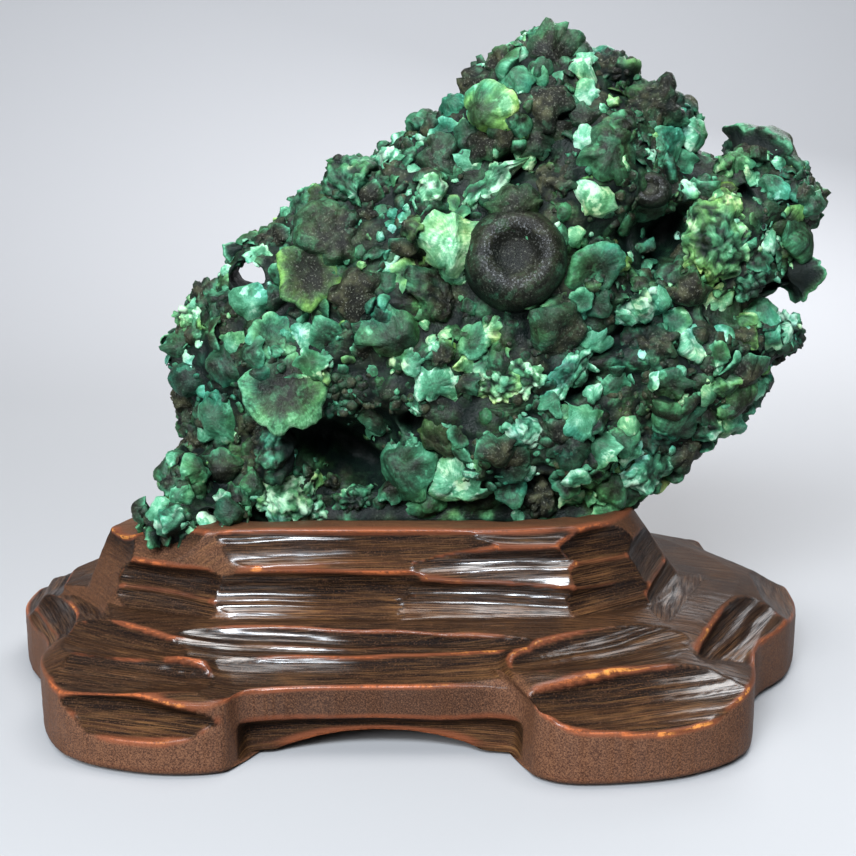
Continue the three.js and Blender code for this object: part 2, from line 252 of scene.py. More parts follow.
# The uncarved block as a grid, u round its plans and v from plan to plan in straight lines: over the
# base, up the wall, slope, ledge and riser, and in over the top.
def standGrid():
    s = standShape
    steps = np.linspace(0, 1, s["around"] + 1)[:-1]
    guess = closedPlan(edgePlan, np.linspace(0, 1, 801))
    weight = np.where(guess[:-1, 1] < 10, 1.45, 0.8)
    run = np.concatenate([[0], np.cumsum(weight)])
    shares = np.interp(steps, run / run[-1], np.linspace(0, 1, 801))
    edge, foot, top = (closedPlan(plan, shares) for plan in (edgePlan, tierFootPlan, tierTopPlan))
    halfWay = edge + (foot - edge) * s["ledgeShare"]
    ledge = rounded(halfWay, s["cornerReach"])
    lift = archHeight(edge[:, 0])

    def level(plan, z):
        return np.column_stack([plan, np.broadcast_to(z, len(plan))])

    def between(low, high, rows):
        t = np.linspace(0, 1, rows + 1)[:-1, None, None]
        return low + (high - low) * t

    middle = np.array(s["seatMiddle"])
    crest = s["tierTop"] - s["crestDrop"] * smoothStep(-top[:, 0], *s["crestEnd"])
    rims = [level(edge, lift), level(edge, s["wallTop"]), level(ledge, s["ledgeEdge"]),
            level(foot, s["tierFoot"]), level(top, crest)]
    counts = [s["wallRows"], s["slopeRows"], s["ledgeRows"], s["riserRows"]]
    bands = [between(rims[i], rims[i + 1], counts[i]) for i in range(4)]
    for number, row in enumerate(bands[1]):
        row[:, :2] = rounded(row[:, :2], s["cornerReach"] * number / s["slopeRows"])
    shrink = np.linspace(0, 1, s["topRows"] + 1)[:, None, None] ** 1.3
    crown = rims[4] + (level(np.tile(middle, (len(edge), 1)), s["tierTop"]) - rims[4]) * shrink
    grow = np.linspace(0, 1, s["baseRows"] + 1)[:-1, None, None]
    under = level(np.zeros_like(edge), 0.0) * (1 - grow) + rims[0] * grow
    under[..., 2] = archHeight(under[..., 0])
    return np.concatenate([under] + bands + [crown], axis=0)


# Outward normal of a grid that closes round u, from the cross product of its two directions.
def gridNormals(grid):
    around = np.roll(grid, -1, axis=1) - np.roll(grid, 1, axis=1)
    up = np.gradient(grid, axis=0)
    return unit(np.cross(around, up))


# One gouge pass: a scoop whose depth falls off as a parabola across it, steeper above its deepest
# line than below, and more abruptly at its ends, with small parabolic flutes side by side in its
# floor. Points standing above that surface are brought down to it. Gives back how far each point is
# cut, its place in the cut's own frame, how much painted shade lies along its upper side and in its
# flutes, and how polished it is.
def carve(grid):
    g = gougeShape
    deepLine = g["deepLine"]
    blank = grid.copy()
    blankNormals = gridNormals(grid)
    cutMask = np.zeros(grid.shape[:2])
    stainAndShade = np.zeros(grid.shape[:2])
    gloss = np.full(grid.shape[:2], g["uncutPolish"])
    cutPlace = grid * np.array([1, 1, 0]) + np.array([0, 0, 400.0])
    for number, cut in enumerate(gougeCuts):
        place, facing, turn, halfLength, halfWidth, sink, flutes, point, polish, shinyEnd = cut
        outward = unit(np.array(facing, float))
        along = unit(np.cross([0, 0, 1], outward))
        across = np.cross(outward, along)
        angle = math.radians(turn)
        along, across = (along * math.cos(angle) + across * math.sin(angle),
                         across * math.cos(angle) - along * math.sin(angle))
        # the points it can reach, and how high the block's surface lies at the middle of the cut
        near = (np.abs(blank - np.array(place, float)) < halfLength + halfWidth).all(axis=-1)
        near &= blankNormals @ outward > 0.45
        faces = smoothStep((blankNormals @ outward)[near], 0.48, 0.66)
        before = blank[near] - np.array(place, float)
        skin = np.hypot(before @ along / 4, before @ across / 2.5) < 1
        anchor = np.median((before @ outward)[skin]) if skin.any() else 0
        offset = grid[near] - np.array(place, float)
        a, b, out = offset @ along, offset @ across, offset @ outward - anchor
        # u across the scoop, -1 to 1 from edge to edge, wandering a little and narrowing to the point
        long, wide = g["swaySize"]
        wandering = np.stack([a / long, np.full(len(a), number * 3.7), b / wide], -1)
        sway = smoothNoise(wandering, 1.0, 71)
        narrow = 1 - 0.55 * smoothStep(point * a / halfLength, -0.5, 1.1) * abs(point)
        u = (b + g["sway"] * sway) / (halfWidth * narrow)
        w = np.where(u > deepLine, (u - deepLine) / (1 - deepLine), (u - deepLine) / (1 + deepLine))
        lane = (np.clip(u / 2 + 0.5, 0, 1) + 0.05 * np.sin(7 * u + number)) * flutes
        groove = (2 * (lane - np.floor(lane)) - 1) ** 2
        flute = groove * (g["fluteLeast"] + g["fluteShare"] * halfWidth / flutes) * (flutes > 1)
        surface = sink * (w ** 2 + np.abs(a / halfLength) ** g["endPower"] - 1) + flute
        # no cut on ground that turns away, stands too high or lies past the scoop's sides and ends
        kept = faces * (1 - smoothStep(out, 2.2, 4.5)) * (1 - smoothStep(np.abs(u), 1.5, 1.9))
        kept = kept * (1 - smoothStep(np.abs(a / halfLength), *g["endFade"]))
        target = np.minimum(surface - out, 0) * kept
        lowered = target < -0.05
        grid[near] = grid[near] + outward * target[:, None]
        depth = smoothStep(-target, 0.02, 0.3)
        faint = flutes == 1 and place[2] > 20  # the broad facets at the ends of the upper tier
        cutMask[near] = np.maximum(cutMask[near], depth * (0.45 if faint else 1))
        gathered = smoothStep(shinyEnd * a / halfLength, -0.05, 0.5) if shinyEnd else 1.0
        gloss[near] = np.where(lowered, polish * gathered, gloss[near])
        local = np.stack([a, b, np.full(len(a), number * 7.0)], -1)
        cutPlace[near] = np.where(lowered[:, None], local, cutPlace[near])
        # painted shade along the scoop's upper side and in its flute grooves
        inGroove = (1 - smoothStep(groove, 0.05, 0.5)) * (flutes > 1)
        shadeInScoop = np.exp(-((u - g["shadeLine"]) / g["shadeReach"]) ** 2) + 0.5 * inGroove
        stainAndShade[near] = np.where(lowered, np.clip(shadeInScoop, 0, 1), stainAndShade[near])
    return cutMask, cutPlace, stainAndShade, gloss


# How sharply the surface bends outwards, measured between points `reach` steps away on either side.
def ridgeTurn(grid, normals, reach):
    padded = np.pad(grid, ((reach, reach), (0, 0), (0, 0)), mode="edge")
    turn = np.zeros(grid.shape[:2])
    sideways = np.roll(grid, reach, 1), np.roll(grid, -reach, 1)
    for one, two in (sideways, (padded[2 * reach:], padded[:-2 * reach])):
        halfChord = np.maximum(np.linalg.norm(one - two, axis=-1) / 2, 0.25)
        turn = np.maximum(turn, ((grid - (one + two) / 2) * normals).sum(-1) * 2 / halfChord)
    return turn


# The carved stand: the block is cut by every gouge pass, sunk for the seat, worn round, then given
# its tool marks and grain along its normals. Its attributes tell the finish where each of these is.
def buildStand():
    s = standShape
    grid = standGrid()
    baseRows = s["baseRows"]
    base = grid[:baseRows].copy()
    cutMask, cutPlace, stainAndShade, gloss = carve(grid)
    grid[:baseRows] = base
    cutMask[:baseRows] = 0
    seat = (np.abs((grid[..., 0] - s["seatMiddle"][0]) / s["seatHalf"][0]) ** 3
            + np.abs((grid[..., 1] - s["seatMiddle"][1]) / s["seatHalf"][1]) ** 3)
    inSeat = (1 - smoothStep(seat, 0.85, 1.0)) * (grid[..., 2] > 28)
    grid[..., 2] = grid[..., 2] * (1 - inSeat) + np.minimum(grid[..., 2], s["seatFloor"]) * inSeat
    for _ in range(s["wearPasses"]):  # the ridges worn slightly round
        smooth = (np.roll(grid, 1, 1) + np.roll(grid, -1, 1)) / 2
        grid[1:-1] = grid[1:-1] * 0.6 + 0.2 * smooth[1:-1] + 0.1 * (grid[2:] + grid[:-2])
    normals = gridNormals(grid)
    tool = layeredNoise(cutPlace * np.array([0.03, 1, 1]), s["toolSize"], 11)
    grain = layeredNoise(grid * np.array([0.06, 1, 1]), s["grainSize"], 17)
    relief = tool * cutMask * s["toolDepth"] + grain * s["grainDepth"] * (1 - cutMask)
    relief[:baseRows] = 0
    grid = grid + normals * relief[..., None]
    grid[..., 2] = np.maximum(grid[..., 2], 0)
    finalNormals = gridNormals(grid)
    border = np.zeros(grid.shape[:2])
    owner = cutPlace[..., 2]
    for step, axis in ((1, 0), (-1, 0), (1, 1), (-1, 1)):
        border = np.maximum(border, np.abs(np.roll(owner, step, axis) - owner) > 1)
    rubbed = ridgeTurn(grid, finalNormals, 2) * (0.35 + 0.65 * border)
    glow = ridgeTurn(grid, finalNormals, 3)
    wear = np.maximum(smoothStep(rubbed, 0.30, 0.9), 0.34 * smoothStep(glow, 0.35, 0.95))
    wear = wear * smoothStep(grid[..., 2], 0.8, 2.5)
    for _ in range(2):
        aside = np.roll(wear, 1, 1) + np.roll(wear, -1, 1)
        wear[1:-1] = 0.5 * wear[1:-1] + 0.125 * (aside[1:-1] + wear[2:] + wear[:-2])
        gloss = 0.5 * gloss + 0.25 * (np.roll(gloss, 1, 1) + np.roll(gloss, -1, 1))
    rows, around = grid.shape[:2]
    points = grid[1:-1].reshape(-1, 3)
    points = np.vstack([points, grid[0, 0], grid[-1, 0]])
    row, column = np.meshgrid(np.arange(rows - 3), np.arange(around), indexing="ij")
    after = (column + 1) % around
    quads = np.stack([row * around + column, row * around + after,
                      (row + 1) * around + after, (row + 1) * around + column], -1).reshape(-1, 4)
    loop = np.arange(around)
    low, high = len(points) - 2, len(points) - 1
    last = (rows - 3) * around
    ahead = (loop + 1) % around
    fans = np.vstack([np.stack([np.full(around, low), ahead, loop], -1),
                      np.stack([np.full(around, high), last + loop, last + ahead], -1)])
    piece = meshPiece("carvedStand", points, quads, fans)

    def perPoint(values):
        body = values[1:-1].reshape(-1, *values.shape[2:])
        return np.concatenate([body, values[:1, 0], values[-1:, 0]])

    # stain darkens the level ledge, and painted shade lies in the recess over the arch
    level = smoothStep(finalNormals[..., 2], 0.72, 0.92) * (grid[..., 2] > 13) * (grid[..., 2] < 30)
    recess = (1 - smoothStep(np.abs(grid[..., 0] - s["archMiddle"]), 17, 25)) * (grid[..., 2] < 14)
    stainAndShade = np.maximum(stainAndShade, np.maximum(0.5 * level, 0.45 * recess))
    stained = np.maximum(0.45 * smoothStep(grid[..., 2], 14, 16), 0.9 * level)
    setAttribute(piece, "wear", perPoint(wear))
    setAttribute(piece, "cut", perPoint(np.maximum(cutMask, stained)))
    setAttribute(piece, "stainAndShade", perPoint(stainAndShade))
    setAttribute(piece, "gloss", perPoint(gloss))
    setAttribute(piece, "cutPlace", perPoint(cutPlace) * mm)
    return piece


standPiece = buildStand()
print("stand carved:", len(standPiece.data.polygons), "faces")


# The stone: how its body is swollen and broken, and where it is open.
stoneShape = {
    "seed": 7, "voxel": 0.75, "inset": 1.9, "lumpSize": 15.0, "lumpHeight": 2.2,
    "cellSize": 6.5, "cellHeight": 1.5, "fineSize": 2.4, "fineHeight": 0.5,
    # open places pushed into the face, with painted shade: x, z, half length, half height, turn, how
    # deep
    "caves": [(-13.5, 47.5, 13, 4.2, -32, 9), (0, 54.5, 3.6, 2.6, 0, 7), (18.5, 103, 3.8, 3, 20, 6),
              (49, 90, 7, 2.2, 60, 6), (40, 72, 9, 1.8, 38, 4), (63, 99.5, 2.6, 2.4, 0, 6),
              (69, 79, 9, 1.6, 12, 5), (32, 62, 6, 1.6, 25, 4), (25, 41, 4, 2.4, 0, 4)],
    # holes that go right through: x, z, half width, half height
    "holes": [(-31.4, 82.4, 3.4, 2.1), (-38.4, 37.6, 1.8, 1.5)],
}


# Distance from points to an ellipse in the face's plane, 0 at its centre and 1 on its edge.
def ellipseReach(points, x, z, halfLength, halfHeight, turn=0.0):
    angle = math.radians(turn)
    along = (points[..., 0] - x) * math.cos(angle) + (points[..., 2] - z) * math.sin(angle)
    across = (points[..., 2] - z) * math.cos(angle) - (points[..., 0] - x) * math.sin(angle)
    return np.hypot(along / halfLength, across / halfHeight)


# 0 on open ground, rising to 1 at the middle of a cave or a through hole.
def openness(points, grow=1.0):
    s = stoneShape
    most = np.zeros(points.shape[:-1])
    for x, z, halfLength, halfHeight, turn, _ in s["caves"]:
        reach = ellipseReach(points, x, z, halfLength * grow, halfHeight * grow, turn)
        most = np.maximum(most, np.where(points[..., 1] < 2, 1 - smoothStep(reach, 0.55, 1.05), 0))
    for x, z, halfWidth, halfHeight in s["holes"]:
        reach = ellipseReach(points, x, z, halfWidth * grow + 0.4, halfHeight * grow + 0.4)
        most = np.maximum(most, 1 - smoothStep(reach, 0.8, 1.2))
    return most


# Points in millimetres and their normals.
def meshArrays(mesh):
    points = np.empty(len(mesh.vertices) * 3, np.float32)
    mesh.vertices.foreach_get("co", points)
    normals = np.empty(len(mesh.vertices) * 3, np.float32)
    mesh.vertices.foreach_get("normal", normals)
    return points.reshape(-1, 3).astype(float) / mm, normals.reshape(-1, 3).astype(float)


# The stone's body: the frame's solid made an even mesh and moved along its normals, in by the inset
# and out by broad lumps, round cells and fine ones, then pushed back in the caves.
def buildCore():
    s = stoneShape
    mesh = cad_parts["malachite"].data.copy()
    mesh.name = "malachiteCore"
    shaped = bmesh.new()
    shaped.from_mesh(mesh)
    bmesh.ops.remove_doubles(shaped, verts=shaped.verts, dist=1e-6)
    shaped.to_mesh(mesh)
    shaped.free()
    piece = bpy.data.objects.new("malachiteCore", mesh)
    bpy.context.scene.collection.objects.link(piece)
    # small even squares in place of the solid's long triangles
    remesh = piece.modifiers.new("even", "REMESH")
    remesh.mode = "VOXEL"
    remesh.voxel_size = s["voxel"] * mm
    relax = piece.modifiers.new("relax", "SMOOTH")
    relax.factor, relax.iterations = 0.5, 12
    graph = bpy.context.evaluated_depsgraph_get()
    even = bpy.data.meshes.new_from_object(piece.evaluated_get(graph))
    piece.modifiers.clear()
    piece.data = even
    even.name = "malachiteCore"
    even.materials.clear()
    points, normals = meshArrays(even)
    opened = openness(points)
    holeNear = np.min([np.hypot((points[:, 0] - x) / 7, (points[:, 2] - z) / 6)
                       for x, z, _, _ in s["holes"]], axis=0)
    byHole = 0.5 + 0.5 * smoothStep(holeNear, 0.6, 1.4)
    inset = s["inset"] * byHole * smoothStep(points[:, 2], 33.2, 36)
    lumps = layeredNoise(points, s["lumpSize"], 31, 2) * s["lumpHeight"] * np.abs(normals[:, 1])
    near, owner = cellNoise(points + 1.2 * smoothNoise3(points, 4.0, 41), s["cellSize"], 43)
    cells = (0.55 - near) * s["cellHeight"] * 1.6
    nearFine, ownerFine = cellNoise(points, s["fineSize"], 53)
    fine = (0.5 - nearFine) * s["fineHeight"] * 2
    free = smoothStep(points[:, 2], 33.2, 37)
    relief = (lumps + cells) * free * (1 - opened) + fine * free
    moved = points + normals * (relief - inset)[:, None]
    for x, z, halfLength, halfHeight, turn, deep in s["caves"]:
        reach = ellipseReach(points, x, z, halfLength, halfHeight, turn)
        inFront = (normals[:, 1] < 0.1) * (points[:, 1] < 2)
        moved[:, 1] += deep * (1 - smoothStep(reach, 0.35, 1.1)) * inFront
    moved[:, 2] = np.maximum(moved[:, 2], 32.9)
    even.vertices.foreach_set("co", (moved * mm).astype(np.float32).ravel())
    even.update()
    even.polygons.foreach_set("use_smooth", np.ones(len(even.polygons), bool))
    # painted shade between the cells and in the caves and holes, velvet on some cells, a tone of its
    # own on each
    valley = smoothStep(near, 0.32, 0.72) * 0.85 + smoothStep(nearFine, 0.35, 0.7) * 0.55
    tone = 0.08 + 0.34 * ownerFine * (0.4 + 0.6 * owner)
    hollow = np.clip(np.maximum(valley, opened * 1.2), 0, 1)
    setAttribute(piece, "look", np.stack([tone, 0.5 * (ownerFine > 0.86), 0.25 * owner], -1))
    velvet = 0.55 * (owner < 0.42)
    setAttribute(piece, "form", np.stack([hollow, velvet, np.zeros(len(points))], -1))
    setAttribute(piece, "fibre", points * 0.5)
    return piece


# Half outline of each kind of growth from the middle of its top round its rim to its root:
# distance from the axis and height, both over the radius. The sixth pair is the rim, but on the eye,
# where the fifth is the crest of its ring.
growthProfiles = {
    "dome": [(0, .52), (.32, .50), (.6, .42), (.83, .27), (.96, .09), (1, -.02), (.95, -.12),
             (.78, -.2), (.5, -.5), (.25, -.9), (0, -1)],
    "dish": [(0, .02), (.24, .06), (.5, .16), (.72, .26), (.9, .28), (1, .20), (.98, .04),
             (.84, -.2), (.6, -.5), (.3, -.8), (0, -.9)],
    "eye": [(0, .26), (.24, .27), (.36, .33), (.46, .44), (.56, .49), (.72, .46), (.9, .22),
            (1, -.15), (.86, -.6), (.4, -.9), (0, -1)],
    "cup": [(0, .34), (.34, .36), (.62, .42), (.82, .44), (.94, .36), (1, .20), (.97, 0),
            (.82, -.3), (.5, -.6), (.25, -.85), (0, -.9)],
    "plate": [(0, .20), (.35, .20), (.65, .17), (.86, .12), (.96, .07), (1, .01), (.95, -.05),
              (.78, -.10), (.5, -.25), (.28, -.7), (0, -.8)],
    "flake": [(0, .15), (.35, .15), (.65, .13), (.86, .10), (.96, .05), (1, 0), (.95, -.05),
              (.8, -.08), (.5, -.14), (.25, -.5), (0, -.6)],
    "disc": [(0, .30), (.4, .30), (.7, .27), (.88, .21), (.97, .12), (1, .01), (.95, -.1),
             (.8, -.2), (.5, -.5), (.25, -.8), (0, -.9)],
    "bulb": [(0, .95), (.38, .88), (.7, .68), (.92, .38), (1, .08), (1, -.12), (.92, -.38),
             (.7, -.65), (.45, -.85), (.22, -.97), (0, -1)],
    "mush": [(0, .78), (.35, .74), (.66, .60), (.9, .36), (1.02, .10), (1.03, -.08), (.92, -.18),
             (.66, -.14), (.48, -.4), (.36, -.9), (0, -1.1)],
    "crust": [(0, .38), (.3, .37), (.55, .33), (.78, .25), (.93, .13), (1, 0), (.95, -.2),
              (.8, -.4), (.5, -.7), (.25, -.9), (0, -.95)],
    "druse": [(0, .50), (.3, .48), (.56, .42), (.8, .30), (.95, .14), (1, -.02), (.95, -.2),
              (.8, -.4), (.5, -.7), (.25, -.9), (0, -.95)],
}
growthKinds = list(growthProfiles)
# per kind: how ragged the outline is, how far a break may cut in, bend, warp, grain, crumbs,
# how much of the rim is fresh, how deeply it parts into lobes, and how toothed its rim is
growthHabit = {
    "dome": (.09, .18, .12, .22, .16, .12, 1.2, .22, .05),
    "dish": (.05, .10, .10, .10, .08, .08, 1.6, .10, .07),
    "eye": (.012, 0, 0, .02, .10, 0, 0, 0, 0), "cup": (.08, .2, .14, .16, .08, .05, 1.2, .14, .08),
    "plate": (.13, .42, .34, .22, .18, .22, 1.1, .20, .06),
    "flake": (.15, .5, .5, .22, .18, .2, 1.2, .2, .08),
    "disc": (.06, 0, .05, .05, .06, 0, .7, 0, .02),
    "bulb": (.08, .1, .06, .2, .10, .05, 1.0, .12, .02),
    "mush": (.08, .1, .20, .14, .10, .1, 1.4, .16, .05),
    "crust": (.14, .2, .16, .22, .6, .8, 1.0, .24, .05),
    "druse": (.16, .1, .14, .22, .7, 1, .5, .1, .04),
}
# how far each kind stands out of the stone, over its radius, where it isn't level with it
growthLift = {
    "plate": 0.12, "flake": 0.18, "dish": 0.08, "dome": -0.04, "crust": -0.10, "bulb": -0.3,
    "druse": -0.1,
}
# sizes of the unevenness on every growth, the near warp over its radius and the rest in
# millimetres, and where along its profile the fresh rim lies and how far it reaches
growthSkin = {
    "nearWarp": 0.9, "wideWarp": 3.2, "wideWarpMost": 0.75, "grain": 1.35, "crumb": 1.6,
    "crumbWarp": 1.2, "rimAt": 4.9, "rimReach": 0.95,
}


# A growth is a profile turned round its own axis: its radius is the profile's times a ragged
# outline times R, its height the profile's times R. The outline is waves, lobes and teeth round the
# axis. The whole is bent and warped by smooth noise, then grained along its normals. All the
# growths are one array: growth, row down the profile, place round the axis.
def growthGrid(group, rows, around, seed):
    skin = growthSkin
    rng = np.random.default_rng(seed)
    count = len(group["radius"])
    radius = group["radius"][:, None, None]
    habit = np.array([growthHabit[kind] for kind in growthKinds])[group["kind"]]
    habits = (habit[:, i][:, None, None] for i in range(9))
    ragged, cutIn, bend, warp, grain, crumbs, rimWidth, lobed, teeth = habits
    tables = np.array([growthProfiles[kind] for kind in growthKinds], float)[group["kind"]]
    places = np.append(np.linspace(0, 6.4, rows - 4), [7.3, 8.2, 9.1, 10])  # fewer near the root
    profile = throughPoints(tables.transpose(1, 0, 2), places).transpose(1, 0, 2)
    share = np.maximum(profile[..., 0], 0)[..., None]
    height = profile[..., 1][..., None]
    theta = (np.arange(around) / around * 2 * math.pi)[None, None]
    outline = np.ones((count, 1, around))
    down = np.linspace(0, 1, rows)[None, :, None]
    # the outline: waves, a straight break across it, lobes and teeth
    for wave in range(2, 10):
        size = ragged * rng.normal(0, 1, (count, 1, 1)) / wave ** 0.6
        twist = rng.normal(0, 2.2, (count, 1, 1)) * down
        outline = outline + size * np.cos(wave * theta + twist + rng.uniform(0, 6.3, (count, 1, 1)))
    breakAt = 1 - cutIn * rng.uniform(0, 1.2, (count, 1, 1))
    fromBreak = np.cos(theta - rng.uniform(0, 6.3, (count, 1, 1)))
    limit = np.where(cutIn > 0, breakAt / np.maximum(fromBreak, 0.05), 9)
    outline = np.minimum(outline, limit)
    number = np.arange(count)[:, None, None] * 9.1 + 0 * theta  # sets each growth's noise apart
    lean = rng.uniform(0, 6.3, (count, 1, 1))
    lobes = rng.integers(3, 8, (count, 1, 1))
    lobe = np.abs(np.cos(lobes * theta / 2 + lean + 0.6 * np.sin(theta + 3 * lean)))
    outline = outline + lobed * (lobe ** 0.6 - 0.8)
    wheel = np.stack([np.cos(theta) + 0 * number, np.sin(theta) + 0 * number, number], -1)
    outline = outline + teeth * smoothNoise(wheel, 0.2, seed + 2)
    # x and y out from the axis, z along it, curled at the rim and sunk between the lobes
    grown = share * (1 + smoothStep(share, 0.05, 0.9) * (outline - 1))
    stretch = group["stretch"][:, None, None]
    x = grown * np.cos(theta) * radius * np.sqrt(stretch)
    y = grown * np.sin(theta) * radius / np.sqrt(stretch)
    number = np.broadcast_to(number, x.shape)
    curl = smoothNoise(np.stack([x / radius * 0.8, y / radius * 0.8, number], -1), 1.0, seed + 3)
    z = height * radius + (curl * bend + bend * 0.9 * (0.4 - grown ** 2)) * radius
    z = z - radius * 0.7 * lobed * (1 - lobe) ** 2 * smoothStep(share, 0.15, 0.9)
    # set in place with its axis the way it faces
    facing = group["facing"]
    helper = np.where(np.abs(facing[:, 2:]) < 0.8, np.array([[0, 0, 1.0]]), np.array([[1.0, 0, 0]]))
    side = unit(np.cross(helper, facing))
    turn = group["turn"][:, None]
    side = side * np.cos(turn) + np.cross(facing, side) * np.sin(turn)
    other = np.cross(facing, side)
    grid = (group["place"][:, None, None] + x[..., None] * side[:, None, None]
            + y[..., None] * other[:, None, None] + z[..., None] * facing[:, None, None])
    scale = radius[..., None]
    ownPlace = grid / scale + np.array([0, 0, 1.0]) * number[..., None]
    grid = grid + smoothNoise3(ownPlace, skin["nearWarp"], seed + 5) * warp[..., None] * scale
    wideWarp = np.minimum(warp[..., None] * 0.33 * scale, skin["wideWarpMost"])
    grid = grid + smoothNoise3(grid, skin["wideWarp"], seed + 6) * wideWarp
    # grain everywhere, and crumbs on the kinds that have them
    normals = stackNormals(grid)
    rough = layeredNoise(grid, skin["grain"], seed + 7, 3)
    relief = grain * np.minimum(radius / 4, 1) * 0.5 * rough
    given, fringe = group["tone"][:, None, None], group["rim"][:, None, None]
    outwards = smoothStep(share, 0.25, 1.0)
    paler = (0.10 + 0.34 * fringe) * (outwards - 0.4) * (given < 0.75)
    tone = given + paler + rough * 0.12 * np.ones_like(x)
    # painted shade on each growth's underside, below its rim
    hollow = smoothStep(np.broadcast_to(places[None, :, None], x.shape), 5.6, 7.2)
    crumbly = crumbs[:, 0, 0] > 0
    if crumbly.any():
        part = grid[crumbly]
        part = part + 0.5 * smoothNoise3(part, skin["crumbWarp"], seed + 9)
        near, owner = cellNoise(part, skin["crumb"], seed + 11)
        strength = crumbs[crumbly]
        relief[crumbly] += (0.5 - near) * 1.6 * strength
        tone[crumbly] += (owner - 0.5) * 0.65 * strength
        # painted shade in the gaps between the crumbs
        hollow[crumbly] = np.maximum(hollow[crumbly], smoothStep(near, 0.42, 0.8) * strength)
    grid = grid + normals * relief[..., None]
    # what the mineral reads: tone, fresh rim, yellow, then painted shade, velvet, painted ring glint,
    # then fibres
    rimReach = skin["rimReach"] * np.maximum(rimWidth, 0.05)
    rim = np.exp(-((places[None, :, None] - skin["rimAt"]) / rimReach) ** 2) * (rimWidth > 0)
    fresh = rim * fringe * np.ones_like(x)
    isEye = (group["kind"] == growthKinds.index("eye"))[:, None, None]
    # painted glint: a pale ring on each eye
    ringGlint = np.where(isEye, np.exp(-((share - 0.55) / 0.11) ** 2), 0.0) * np.ones_like(x)
    inMiddle = 1 - 0.85 * smoothStep(share + 0.25 * fringe, 0.5, 1.1)
    velvet = (1 - smoothStep(given, 0.07, 0.26)) * inMiddle * (1 - 0.7 * isEye) * np.ones_like(x)
    sulfur = group["sulfur"][:, None, None]
    yellow = sulfur * (0.35 + 0.65 * smoothStep(share, 0.3, 0.8)) * np.ones_like(x)
    look = np.stack([np.clip(tone, 0, 1), np.clip(fresh, 0, 1), yellow], -1)
    form = np.stack([np.clip(hollow, 0, 1), velvet, ringGlint], -1)
    reach = 0.7 * radius
    ring = grown * radius * 0.30
    fibre = np.stack([np.cos(theta) * reach + number, np.sin(theta) * reach + 0 * number, ring], -1)
    return grid, {"look": look, "form": form, "fibre": fibre}


# Normals of many grids at once: rows down the profile crossed with places round the axis.
def stackNormals(grid):
    around = np.roll(grid, -1, axis=2) - np.roll(grid, 1, axis=2)
    down = np.gradient(grid, axis=1)
    return unit(np.cross(down, around))


# One mesh from a stack of grids, each closed at its two ends by a fan of triangles.
def growthPiece(name, group, rows, around, seed):
    grid, fields = growthGrid(group, rows, around, seed)
    count, inner = len(grid), (rows - 2) * around

    def perPoint(values):
        body = values[:, 1:-1].reshape(count, inner, -1)
        whole = np.concatenate([body, values[:, :1, 0], values[:, -1:, 0]], axis=1)
        return whole.reshape(count * (inner + 2), -1)

    row, column = np.meshgrid(np.arange(rows - 3), np.arange(around), indexing="ij")
    after = (column + 1) % around
    quads = np.stack([row * around + column, (row + 1) * around + column,
                      (row + 1) * around + after, row * around + after], -1).reshape(-1, 4)
    loop = np.arange(around)
    last = (rows - 3) * around
    ahead = (loop + 1) % around
    fans = np.vstack([np.stack([np.full(around, inner), loop, ahead], -1),
                      np.stack([np.full(around, inner + 1), last + ahead, last + loop], -1)])
    start = (np.arange(count) * (inner + 2))[:, None, None]
    quads, fans = (quads[None] + start).reshape(-1, 4), (fans[None] + start).reshape(-1, 3)
    piece = meshPiece(name, perPoint(grid), quads, fans)
    for key, values in fields.items():
        setAttribute(piece, key, perPoint(values))
    return piece
